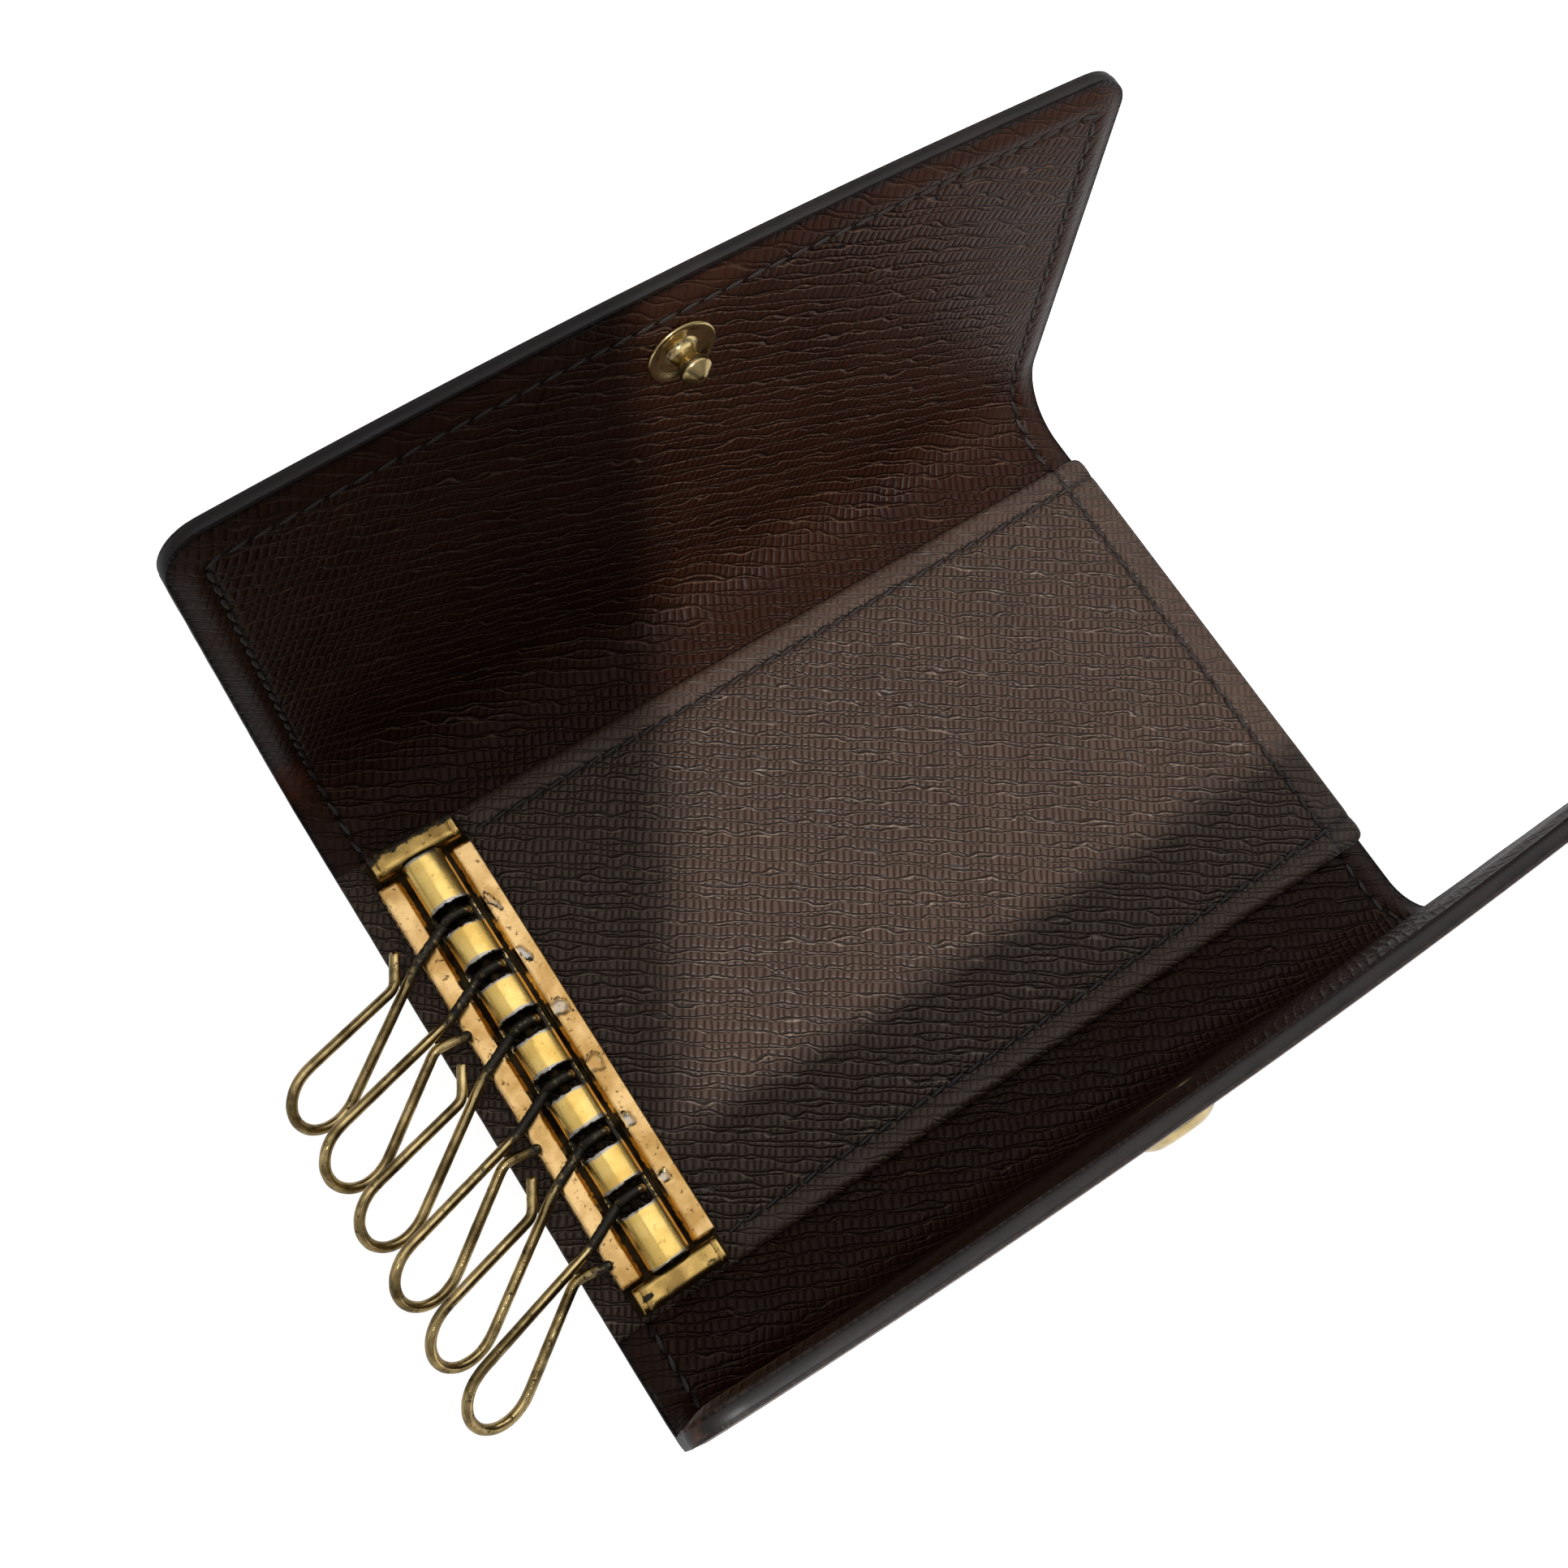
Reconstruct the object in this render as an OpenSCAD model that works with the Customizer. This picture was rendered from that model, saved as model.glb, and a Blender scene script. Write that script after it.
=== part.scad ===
// Folding key case with a rack of six swinging wire hooks.
// It lies open on its back: X runs along the folds from the rack end, Y points to the flap
// with the snap stud, Z is up, and the table is at zero. All sizes are in millimetres.

/* [Leather] */
// Length of the case along its folds
case_length = 100; // [92:1:112]
// Distance from the patch to the start of the fold on the stud side
stud_side_margin = 3.1; // [2.3:0.1:5]
// Distance from the patch to the start of the fold on the socket side
socket_side_margin = 5.4; // [3:0.1:8]
// Thickness of the coated outer canvas
canvas_thickness = 0.9; // [0.7:0.1:1.2]
// Thickness of the stiff board between canvas and lining
board_thickness = 0.5; // [0.5:0.1:0.8]
// Thickness of the leather lining
lining_thickness = 0.9; // [0.7:0.1:1.2]
// Thickness of the sewn leather patch under the rack
patch_thickness = 0.8; // [0.6:0.1:1.1]
// Distance from the rack to the long edge of the patch
rack_margin = 0.65; // [0.4:0.05:1.8]
// Corner radius of the patch
patch_corner = 1.5; // [0.5:0.1:3]
// Corner radius of both flaps
flap_corner = 4.5; // [3:0.5:8]

/* [Folds] */
// Inner radius of the fold on the socket side
inner_fold_radius = 4.5; // [4.5:0.1:6]
// Lean of the stud flap at rest, measured up from flat
stud_flap_angle = 84.6; // [80:0.2:95]
// Lean of the socket flap at rest, measured up from flat
socket_flap_angle = 92.2; // [85:0.1:97]
// Distance from the socket side fold to the socket
socket_reach = 28.2; // [24:0.1:31]
// Leather beyond the stud at the free edge
stud_margin = 8.6; // [7:0.1:11]
// Length of the socket flap from its fold to its free edge
socket_flap_reach = 47.1; // [43:0.1:50]

/* [Snap] */
// Radius of the flat foot of the stud
stud_foot_radius = 3.65; // [3:0.05:4.2]
// Thickness of the foot of the stud
stud_foot_thickness = 0.5; // [0.4:0.1:0.7]
// Radius of the neck of the stud
stud_neck_radius = 1.2; // [1:0.05:1.4]
// Radius of the widest part of the head of the stud
stud_head_radius = 1.6; // [1.45:0.05:1.7]
// Radius of the blunt end of the stud
stud_tip_radius = 0.7; // [0.4:0.1:1]
// Length of the neck of the stud beyond its foot
stud_neck_length = 2.5; // [2:0.1:2.6]
// Length of the straight part of the head
stud_head_length = 0.6; // [0.4:0.1:0.8]
// Length of the tapering end of the head
stud_tip_length = 0.8; // [0.5:0.1:0.9]
// Radius of the domed cap outside the stud flap
cap_radius = 5; // [4:0.1:6.5]
// Height of the domed cap
cap_height = 1.2; // [0.8:0.1:1.6]
// Radius of the foot of the socket
socket_foot_radius = 4.2; // [4:0.1:5]
// Thickness of the foot of the socket
socket_foot_thickness = 0.6; // [0.5:0.1:0.8]
// Radius of the drum of the socket
socket_drum_radius = 3.4; // [3.3:0.1:3.7]
// Height of the whole socket
socket_height = 2.8; // [2.6:0.1:3.2]
// Rounding of the top edge of the drum
socket_round = 0.5; // [0.3:0.1:0.6]
// Wall thickness of the drum
socket_wall = 0.5; // [0.4:0.1:0.6]
// Clearance round the head of the stud in the socket
socket_clearance = 0.45; // [0.35:0.05:0.5]
// Clearance between the foot of the stud and the closed socket
snap_gap = 0.3; // [0.3:0.05:0.6]
// Wall thickness of the eyelet that holds the socket
eyelet_wall = 0.5; // [0.4:0.1:0.7]
// Radius of the flat rim of the eyelet
eyelet_rim_radius = 3.8; // [3.4:0.1:4.5]
// Thickness of the rim of the eyelet
eyelet_rim_thickness = 0.4; // [0.3:0.05:0.5]
// Radius of the wire of the spring in the socket
spring_wire_radius = 0.25; // [0.15:0.05:0.25]

/* [Rack] */
// Distance of the pivot rod from the end of the case
rod_inset = 8.5; // [7.5:0.1:11]
// Radius of the pivot rod
rod_radius = 0.6; // [0.5:0.05:0.65]
// Height of the middle of the rod above the patch
rod_height = 2.2; // [2.2:0.05:2.6]
// Distance by which a rail is shorter than the barrel at each end
rail_setback = 0.25; // [0.1:0.05:0.5]
// Width of each rail
rail_width = 2.4; // [2:0.1:2.5]
// Height of each rail above the base plate
rail_height = 0.8; // [0.5:0.1:0.8]
// Height of the straight sides of a rail
rail_side_height = 0.2; // [0.1:0.05:0.3]
// Distance from the rod to the middle of each rail
rail_offset = 4.45; // [4.4:0.05:4.6]
// Thickness of the base plate
base_thickness = 0.5; // [0.4:0.05:0.6]
// Width of the base plate
base_width = 11; // [10.8:0.1:11.6]
// Corner radius of the base plate
base_corner = 0.6; // [0.3:0.1:1]
// Outer radius of the round barrel
barrel_radius = 2.15; // [2.1:0.05:2.3]
// Wall thickness of the barrel
barrel_wall = 0.4; // [0.3:0.05:0.45]
// Half length of the barrel
barrel_half_length = 24.6; // [23:0.1:27]
// Spacing of the six hooks along the rod
hook_pitch = 6.84; // [6.84:0.02:7]
// Width of each slot in the barrel
slot_width = 2.8; // [2.6:0.05:3]
// Height of the sills that join the barrel under its slots
sill_height = 0.4; // [0.2:0.05:0.45]
// Gap between the barrel and each end cap
end_gap = 0.2; // [0.1:0.05:0.3]
// Depth of an end cap along the rod
end_cap_depth = 2.85; // [2.6:0.05:3.2]
// Width of an end cap across the rod
end_cap_width = 9.8; // [9:0.1:10.6]
// Height of an end cap above the patch
end_cap_height = 3.3; // [3.2:0.1:3.8]
// Wall thickness of an end cap
end_cap_wall = 0.5; // [0.4:0.05:0.6]
// Rounding of the long top edges of an end cap
end_cap_round = 0.8; // [0.5:0.1:1.1]
// Radius of the shank of a rack rivet
rivet_radius = 0.7; // [0.5:0.05:0.8]
// Radius of the clenched head of a rack rivet
rivet_head_radius = 1.6; // [1.2:0.1:2]
// Height of the upper head of a rack rivet
rivet_top_height = 0.5; // [0.3:0.1:0.6]
// Radius of the upper head of a rack rivet
rivet_top_radius = 0.85; // [0.8:0.05:0.9]
// Distance of each rack rivet from the rod
rivet_offset = 2.9; // [2.7:0.1:3.4]

/* [Hooks] */
// Radius of the hook wire
wire_radius = 0.575; // [0.5:0.025:0.575]
// Clearance between the rod and the eye of a hook
eye_clearance = 0.1; // [0.05:0.01:0.1]
// Sideways place of the eye in its slot
eye_shift = 0.2; // [0:0.05:0.3]
// Radius of the neck where it leaves the eye
neck_radius = 0.5; // [0.4:0.02:0.5]
// Straight neck between the eye and the loop
neck_length = 5.3; // [5:0.1:5.6]
// Distance from the eye to the middle of the round end of the loop
loop_reach = 21.1; // [19:0.1:22]
// Radius of the round end of the loop, on the wire's middle line
loop_radius = 3.9; // [3.2:0.05:3.9]
// Distance from the eye to the bend that closes the loop
gate_reach = 8.6; // [8:0.1:9.4]
// Gap between the corner of the closing bend and the stem
gate_gap = 0.25; // [0.15:0.05:0.4]
// Radius of the small bends of the wire, on its middle line
bend_radius = 1.2; // [0.9:0.1:1.5]
// Length of the rounded end of the wire
tip_round = 0.25; // [0.15:0.05:0.35]
// Length by which a straight run reaches into a bend
bend_lap = 0.12; // [0.08:0.02:0.16]
// Distance from the eye to the flared end
tip_reach = 5.8; // [5.6:0.1:6.4]
// Sideways place of the flared end
tip_side = 2.4; // [1.8:0.1:2.5]
// Lift of the flared end above the neck
tip_lift = 0.15; // [0.1:0.05:0.2]
// Sideways lean of the hooks at rest
hook_lean = 25; // [18:1:25]
// Roll of the loops about their own line
hook_roll = 50; // [50:1:56]
// Roll of the first loop, which stands steeper
first_hook_roll = 55; // [50:1:56]

/* [Hidden] */
$fn = 48;
bend_share = 1.03;
tip_root_share = 0.96;
tip_share = 0.6;
leather = canvas_thickness + board_thickness + lining_thickness;
lining_low = canvas_thickness + board_thickness;
patch_top = leather + patch_thickness;
outer_fold_radius = inner_fold_radius
    + (leather + socket_height + snap_gap + stud_foot_thickness) / 2;
inner_axis_z = leather + inner_fold_radius;
outer_axis_z = leather + outer_fold_radius;
patch_half_width = barrel_half_length + end_gap + end_cap_depth + rack_margin;
stud_side_half_width = patch_half_width + stud_side_margin;
socket_side_half_width = patch_half_width + socket_side_margin;
stud_reach = stud_side_half_width + socket_side_half_width - socket_reach;
stud_flap_reach = stud_reach + stud_margin;
bore_radius = stud_head_radius + socket_clearance;
eyelet_radius = bore_radius + eyelet_wall;
stud_length = stud_foot_thickness + stud_neck_length + stud_head_length + stud_tip_length;
cap_sphere = (cap_radius * cap_radius + cap_height * cap_height) / (2 * cap_height);
rod_x = rod_inset - case_length / 2;
rod_z = patch_top + rod_height;
base_top = patch_top + base_thickness;
rail_half_length = barrel_half_length - rail_setback;
rail_crown = rail_height - rail_side_height;
rail_round = (rail_width * rail_width / 4 + rail_crown * rail_crown) / (2 * rail_crown);
cap_start = barrel_half_length + end_gap;
cap_end = cap_start + end_cap_depth;
eye_radius = rod_radius + eye_clearance + wire_radius;
stem_slope = asin(loop_radius / (loop_reach - neck_length));
gate_side = (2 * wire_radius + gate_gap) / cos(stem_slope)
    - (gate_reach - neck_length) * tan(stem_slope);
gate_span = norm([loop_reach - gate_reach, gate_side]);
leg_slope = asin(loop_radius / gate_span) - atan2(gate_side, loop_reach - gate_reach);
hook_count = 6;

// Flat layer of the back between its two folds
module back_layer(low, thickness) {
    translate([-case_length / 2, -socket_side_half_width, low])
        cube([case_length, socket_side_half_width + stud_side_half_width, thickness]);
}

// Flat layer of a flap in its own frame: the fold axis is the origin, and the flap lies along Y
module flap_layer(radius, above, thickness, reach) {
    translate([0, 0, -radius - above - thickness]) {
        translate([-case_length / 2, 0, 0])
            cube([case_length, reach - flap_corner, thickness]);
        translate([flap_corner - case_length / 2, 0, 0])
            cube([case_length - 2 * flap_corner, reach, thickness]);
        for (side = [-1, 1])
            translate([side * (case_length / 2 - flap_corner), reach - flap_corner, 0])
                cylinder(h = thickness, r = flap_corner);
    }
}

// Round strip of a fold, from straight down up to the angle of its flap
module fold_layer(radius, above, thickness, angle) {
    rotate([0, 90, 0])
        rotate_extrude(angle = angle)
            translate([radius + above, -case_length / 2])
                square([thickness, case_length]);
}

module stud_axis() {
    translate([0, stud_side_half_width, outer_axis_z]) children();
}

module stud_frame() {
    stud_axis() rotate([stud_flap_angle, 0, 0]) children();
}

module socket_axis() {
    mirror([0, 1, 0]) translate([0, socket_side_half_width, inner_axis_z]) children();
}

module socket_frame() {
    socket_axis() rotate([socket_flap_angle, 0, 0]) children();
}

// Place of the stud on the lining of its flap, and of the socket on the canvas of the other
module stud_place() {
    stud_frame() translate([0, stud_reach, -outer_fold_radius]) children();
}

module socket_place() {
    socket_frame() translate([0, socket_reach, -inner_fold_radius - leather]) children();
}

// Places of the four rack rivets
module rivet_places() {
    for (side = [-1, 1], end = [-1, 1])
        translate([rod_x + side * rivet_offset, end * (cap_start + cap_end) / 2, 0]) children();
}

module rivet_holes() {
    rivet_places() cylinder(h = base_top, r = rivet_radius);
}

module back_canvas() {
    color("#5a4230") back_layer(0, canvas_thickness);
}

module back_board() {
    color("#7a6a55") difference() {
        back_layer(canvas_thickness, board_thickness);
        rivet_places() translate([0, 0, canvas_thickness])
            cylinder(h = board_thickness, r = rivet_head_radius);
    }
}

module back_lining() {
    color("#33231d") difference() {
        back_layer(lining_low, lining_thickness);
        rivet_holes();
    }
}

module centre_patch() {
    inner_length = case_length - 2 * patch_corner;
    inner_half = patch_half_width - patch_corner;
    color("#3b2a22") difference() {
        translate([0, 0, leather]) {
            translate([-case_length / 2, -inner_half, 0])
                cube([case_length, 2 * inner_half, patch_thickness]);
            translate([-inner_length / 2, -patch_half_width, 0])
                cube([inner_length, 2 * patch_half_width, patch_thickness]);
            for (side = [-1, 1], end = [-1, 1])
                translate([side * inner_length / 2, end * inner_half, 0])
                    cylinder(h = patch_thickness, r = patch_corner);
        }
        rivet_holes();
    }
}

// Middle of each slot along the rod, from the stud side down
function slot_y(number) = ((hook_count + 1) / 2 - number) * hook_pitch;

module rack_base() {
    color("#b08a48") difference() {
        translate([rod_x, 0, patch_top]) {
            translate([-base_width / 2, base_corner - cap_end, 0])
                cube([base_width, 2 * (cap_end - base_corner), base_thickness]);
            translate([base_corner - base_width / 2, -cap_end, 0])
                cube([base_width - 2 * base_corner, 2 * cap_end, base_thickness]);
            for (side = [-1, 1], end = [-1, 1])
                translate([side * (base_width / 2 - base_corner), end * (cap_end - base_corner), 0])
                    cylinder(h = base_thickness, r = base_corner);
        }
        for (number = [1:hook_count])
            translate([rod_x + barrel_wall - barrel_radius, slot_y(number) - slot_width / 2, patch_top])
                cube([2 * (barrel_radius - barrel_wall), slot_width, base_thickness]);
        rivet_holes();
    }
}

// Rounded bar of a rail, side -1 for the outer and 1 for the inner one
module rail(side) {
    translate([rod_x + side * rail_offset, -rail_half_length, base_top])
        intersection() {
            translate([-rail_width / 2, 0, 0])
                cube([rail_width, 2 * rail_half_length, rail_height]);
            translate([0, 0, rail_height - rail_round])
                rotate([-90, 0, 0]) cylinder(h = 2 * rail_half_length, r = rail_round);
        }
}

module outer_rail() {
    color("#c99a62") rail(-1);
}

module inner_rail() {
    color("#c99a62") rail(1);
}

// Arched cross section of the barrel, standing on the base plate
module barrel_arch(radius, length) {
    translate([rod_x, -length / 2, rod_z])
        rotate([-90, 0, 0]) cylinder(h = length, r = radius);
    translate([rod_x - radius, -length / 2, base_top])
        cube([2 * radius, length, rod_z - base_top]);
}

module barrel_cover() {
    color("#d8b45a") difference() {
        intersection() {
            barrel_arch(barrel_radius, 2 * barrel_half_length);
            translate([rod_x - barrel_radius, -barrel_half_length, base_top])
                cube([2 * barrel_radius, 2 * barrel_half_length, rod_z - base_top + barrel_radius]);
        }
        translate([rod_x + barrel_wall - barrel_radius, -barrel_half_length, base_top])
            cube([2 * (barrel_radius - barrel_wall), 2 * barrel_half_length, rod_z - base_top]);
        translate([rod_x, -barrel_half_length, rod_z])
            rotate([-90, 0, 0])
                cylinder(h = 2 * barrel_half_length, r = barrel_radius - barrel_wall);
        for (number = [1:hook_count])
            translate([rod_x - barrel_radius, slot_y(number) - slot_width / 2, base_top + sill_height])
                cube([2 * barrel_radius, slot_width, rod_z - base_top + barrel_radius]);
    }
}

module pivot_rod() {
    half = cap_end - end_cap_wall;
    color("#9a7a3e") translate([rod_x, -half, rod_z])
        rotate([-90, 0, 0]) cylinder(h = 2 * half, r = rod_radius);
}

// Folded end cap over the end of the base plate, open below, end 1 for the stud side
module end_cap(end) {
    height = end_cap_height - base_thickness;
    width = end_cap_width;
    inner_depth = end_cap_depth - 2 * end_cap_wall;
    difference() {
        translate([rod_x - width / 2, end * (cap_start + cap_end) / 2, base_top]) {
            translate([0, -end_cap_depth / 2, 0])
                cube([width, end_cap_depth, height - end_cap_round]);
            translate([0, end_cap_round - end_cap_depth / 2, 0])
                cube([width, end_cap_depth - 2 * end_cap_round, height]);
            for (edge = [-1, 1])
                translate([0, edge * (end_cap_depth / 2 - end_cap_round), height - end_cap_round])
                    rotate([0, 90, 0]) cylinder(h = width, r = end_cap_round);
        }
        translate([
            rod_x + end_cap_wall - width / 2,
            end * (cap_start + cap_end) / 2 - inner_depth / 2,
            base_top
        ])
            cube([width - 2 * end_cap_wall, inner_depth, height - end_cap_wall]);
        translate([rod_x, -cap_end + end_cap_wall, rod_z])
            rotate([-90, 0, 0])
                cylinder(h = 2 * (cap_end - end_cap_wall), r = rod_radius);
    }
}

module upper_end_cap() {
    color("#a98445") end_cap(1);
}

module lower_end_cap() {
    color("#a98445") end_cap(-1);
}

module rack_rivets() {
    color("#8f8a80") rivet_places() {
        translate([0, 0, canvas_thickness]) {
            cylinder(h = base_top - canvas_thickness, r = rivet_radius);
            cylinder(h = board_thickness, r = rivet_head_radius);
        }
        translate([0, 0, base_top]) cylinder(h = rivet_top_height, r = rivet_top_radius);
    }
}

module stud_fold_canvas() {
    color("#5a4230") stud_axis()
        fold_layer(outer_fold_radius, lining_thickness, leather - lining_thickness, stud_flap_angle);
}

module stud_fold_lining() {
    color("#33231d") stud_axis()
        fold_layer(outer_fold_radius, 0, lining_thickness, stud_flap_angle);
}

module socket_fold_canvas() {
    color("#5a4230") socket_axis()
        fold_layer(inner_fold_radius, lining_thickness, leather - lining_thickness, socket_flap_angle);
}

module socket_fold_lining() {
    color("#33231d") socket_axis()
        fold_layer(inner_fold_radius, 0, lining_thickness, socket_flap_angle);
}

module stud_hole() {
    stud_place() translate([0, 0, -leather]) cylinder(h = leather, r = stud_neck_radius);
}

module stud_flap_canvas() {
    color("#5a4230") difference() {
        stud_frame() flap_layer(outer_fold_radius, lining_thickness + board_thickness,
            canvas_thickness, stud_flap_reach);
        stud_hole();
    }
}

module stud_flap_board() {
    color("#7a6a55") difference() {
        stud_frame() flap_layer(outer_fold_radius, lining_thickness,
            board_thickness, stud_flap_reach);
        stud_hole();
    }
}

module stud_flap_lining() {
    color("#33231d") difference() {
        stud_frame() flap_layer(outer_fold_radius, 0, lining_thickness, stud_flap_reach);
        stud_hole();
    }
}

// Domed cap outside the flap, with the post that carries the stud
module snap_cap() {
    color("#c9a050") stud_place() translate([0, 0, -leather]) {
        cylinder(h = leather, r = stud_neck_radius);
        intersection() {
            translate([0, 0, cap_sphere - cap_height]) sphere(r = cap_sphere, $fn = 360);
            translate([0, 0, -cap_height]) cylinder(h = cap_height, r = cap_radius);
        }
    }
}

module snap_stud() {
    neck_top = stud_foot_thickness + stud_neck_length;
    color("#b08f4a") stud_place() {
        cylinder(h = stud_foot_thickness, r = stud_foot_radius);
        cylinder(h = neck_top, r = stud_neck_radius);
        translate([0, 0, neck_top - stud_head_length])
            cylinder(h = stud_head_length, r1 = stud_neck_radius, r2 = stud_head_radius);
        translate([0, 0, neck_top])
            cylinder(h = stud_head_length, r = stud_head_radius);
        translate([0, 0, neck_top + stud_head_length])
            cylinder(h = stud_tip_length, r1 = stud_head_radius, r2 = stud_tip_radius);
    }
}

module eyelet_hole() {
    socket_place() cylinder(h = leather, r = eyelet_radius);
}

module socket_flap_canvas() {
    color("#5a4230") difference() {
        socket_frame() flap_layer(inner_fold_radius, lining_thickness + board_thickness,
            canvas_thickness, socket_flap_reach);
        eyelet_hole();
    }
}

module socket_flap_board() {
    color("#7a6a55") difference() {
        socket_frame() flap_layer(inner_fold_radius, lining_thickness,
            board_thickness, socket_flap_reach);
        eyelet_hole();
    }
}

module socket_flap_lining() {
    color("#33231d") difference() {
        socket_frame() flap_layer(inner_fold_radius, 0, lining_thickness, socket_flap_reach);
        eyelet_hole();
    }
}

// Socket on the canvas, opening away from the flap
module snap_socket() {
    cavity_radius = socket_drum_radius - socket_wall;
    drum = socket_height - socket_round;
    color("#b9924a") socket_place() mirror([0, 0, 1]) difference() {
        union() {
            cylinder(h = socket_foot_thickness, r = socket_foot_radius);
            cylinder(h = drum, r = socket_drum_radius);
            cylinder(h = socket_height, r = socket_drum_radius - socket_round);
            translate([0, 0, drum]) rotate_extrude()
                translate([socket_drum_radius - socket_round, 0]) circle(r = socket_round);
        }
        cylinder(h = socket_height, r = bore_radius);
        translate([0, 0, socket_foot_thickness])
            cylinder(h = socket_height - socket_foot_thickness - socket_wall, r = cavity_radius);
    }
}

// Open spring ring on the floor of the socket
module socket_spring() {
    ring = socket_drum_radius - socket_wall - spring_wire_radius;
    color("#c8c4ba") socket_place() mirror([0, 0, 1])
        translate([0, 0, socket_foot_thickness + spring_wire_radius])
            rotate_extrude(angle = 325) translate([ring, 0]) circle(r = spring_wire_radius);
}

module socket_eyelet() {
    color("#b9924a") socket_place() difference() {
        union() {
            cylinder(h = leather, r = eyelet_radius);
            translate([0, 0, leather]) cylinder(h = eyelet_rim_thickness, r = eyelet_rim_radius);
        }
        cylinder(h = leather + eyelet_rim_thickness, r = bore_radius);
    }
}

// Straight wire between two points
module wire(from, to, start_radius, end_radius) {
    step = to - from;
    span = norm(step);
    translate(from)
        rotate([0, acos(step[2] / span), atan2(step[1], step[0])])
            cylinder(h = span, r1 = start_radius, r2 = end_radius);
}

function unit(way) = way / norm(way);

// Length that a round bend takes from each straight run at a corner
function bend_cut(from, to) = bend_radius * tan(acos(from * to) / 2);

// Where a straight run ends inside the bend at a corner
function bend_meet(from, to) = bend_cut(from, to) - bend_lap;

// Round bend at a corner, from one direction into another
module wire_bend(corner, from, to) {
    inward = unit(to - (to * from) * from);
    axis = cross(from, inward);
    centre = corner - bend_cut(from, to) * from + bend_radius * inward;
    multmatrix([
        [-inward[0], from[0], axis[0], centre[0]],
        [-inward[1], from[1], axis[1], centre[1]],
        [-inward[2], from[2], axis[2], centre[2]],
        [0, 0, 0, 1]
    ])
        rotate_extrude(angle = acos(from * to))
            translate([bend_radius, 0]) circle(r = wire_radius * bend_share);
}

// A point or direction of the loop, turned about the line of the neck
function rolled(point, roll) = [
    point[0],
    point[1] * cos(roll) + point[2] * sin(roll),
    point[2] * cos(roll) - point[1] * sin(roll)
];

// Open loop of one hook: X runs along it from the eye, and side tells where the stem lies
module hook_loop(side, roll) {
    neck_end = [neck_length, 0, 0];
    neck_way = [1, 0, 0];
    stem_way = rolled([cos(stem_slope), side * sin(stem_slope), 0], roll);
    stem_end = rolled([
        loop_reach - loop_radius * sin(stem_slope), side * loop_radius * cos(stem_slope), 0
    ], roll);
    leg_start = rolled([
        loop_reach - loop_radius * sin(leg_slope), -side * loop_radius * cos(leg_slope), 0
    ], roll);
    gate = rolled([gate_reach, -side * gate_side, 0], roll);
    tip = [tip_reach, -side * tip_side, tip_lift];
    leg_way = unit(gate - leg_start);
    tip_way = unit(tip - gate);
    sweep = 180 + stem_slope + leg_slope;
    start = side > 0 ? -90 - leg_slope : -90 - stem_slope;
    wire([0, 0, 0], neck_end - bend_meet(neck_way, stem_way) * neck_way, neck_radius, wire_radius);
    wire_bend(neck_end, neck_way, stem_way);
    wire(neck_end + bend_meet(neck_way, stem_way) * stem_way,
        stem_end + bend_lap * stem_way, wire_radius, wire_radius);
    rotate([-roll, 0, 0]) translate([loop_reach, 0, 0]) rotate([0, 0, start])
        rotate_extrude(angle = sweep)
            translate([loop_radius, 0]) circle(r = wire_radius * bend_share);
    wire(leg_start - bend_lap * leg_way,
        gate - bend_meet(leg_way, tip_way) * leg_way, wire_radius, wire_radius);
    wire_bend(gate, leg_way, tip_way);
    wire(gate + bend_meet(leg_way, tip_way) * tip_way, tip, wire_radius, wire_radius);
    wire(tip - bend_lap * tip_way, tip + tip_round * tip_way,
        tip_root_share * wire_radius, tip_share * wire_radius);
}

// One hook with its eye round the rod; the stems of neighbours lie on opposite sides
module key_hook(number, roll) {
    color("#8a6f3c") translate([rod_x, slot_y(number) + eye_shift, rod_z]) {
        rotate([90, 0, 0]) rotate_extrude() translate([eye_radius, 0]) circle(r = wire_radius);
        translate([-eye_radius, 0, 0]) rotate([0, 0, 180 + hook_lean])
            hook_loop(number % 2 == 0 ? -1 : 1, roll);
    }
}

module key_hook_1() {
    key_hook(1, first_hook_roll);
}

module key_hook_2() {
    key_hook(2, hook_roll);
}

module key_hook_3() {
    key_hook(3, hook_roll);
}

module key_hook_4() {
    key_hook(4, hook_roll);
}

module key_hook_5() {
    key_hook(5, hook_roll);
}

module key_hook_6() {
    key_hook(6, hook_roll);
}

back_canvas();
back_board();
back_lining();
centre_patch();
rack_base();
outer_rail();
inner_rail();
barrel_cover();
pivot_rod();
upper_end_cap();
lower_end_cap();
rack_rivets();
stud_fold_canvas();
stud_fold_lining();
socket_fold_canvas();
socket_fold_lining();
stud_flap_canvas();
stud_flap_board();
stud_flap_lining();
snap_cap();
snap_stud();
socket_flap_canvas();
socket_flap_board();
socket_flap_lining();
snap_socket();
socket_spring();
socket_eyelet();
key_hook_1();
key_hook_2();
key_hook_3();
key_hook_4();
key_hook_5();
key_hook_6();
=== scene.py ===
import bpy
import bmesh
from functools import partial
from math import asin, atan2, cos, dist, exp, hypot, pi, radians, sin, sqrt, tan
from mathutils import Matrix, Vector, noise


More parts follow.
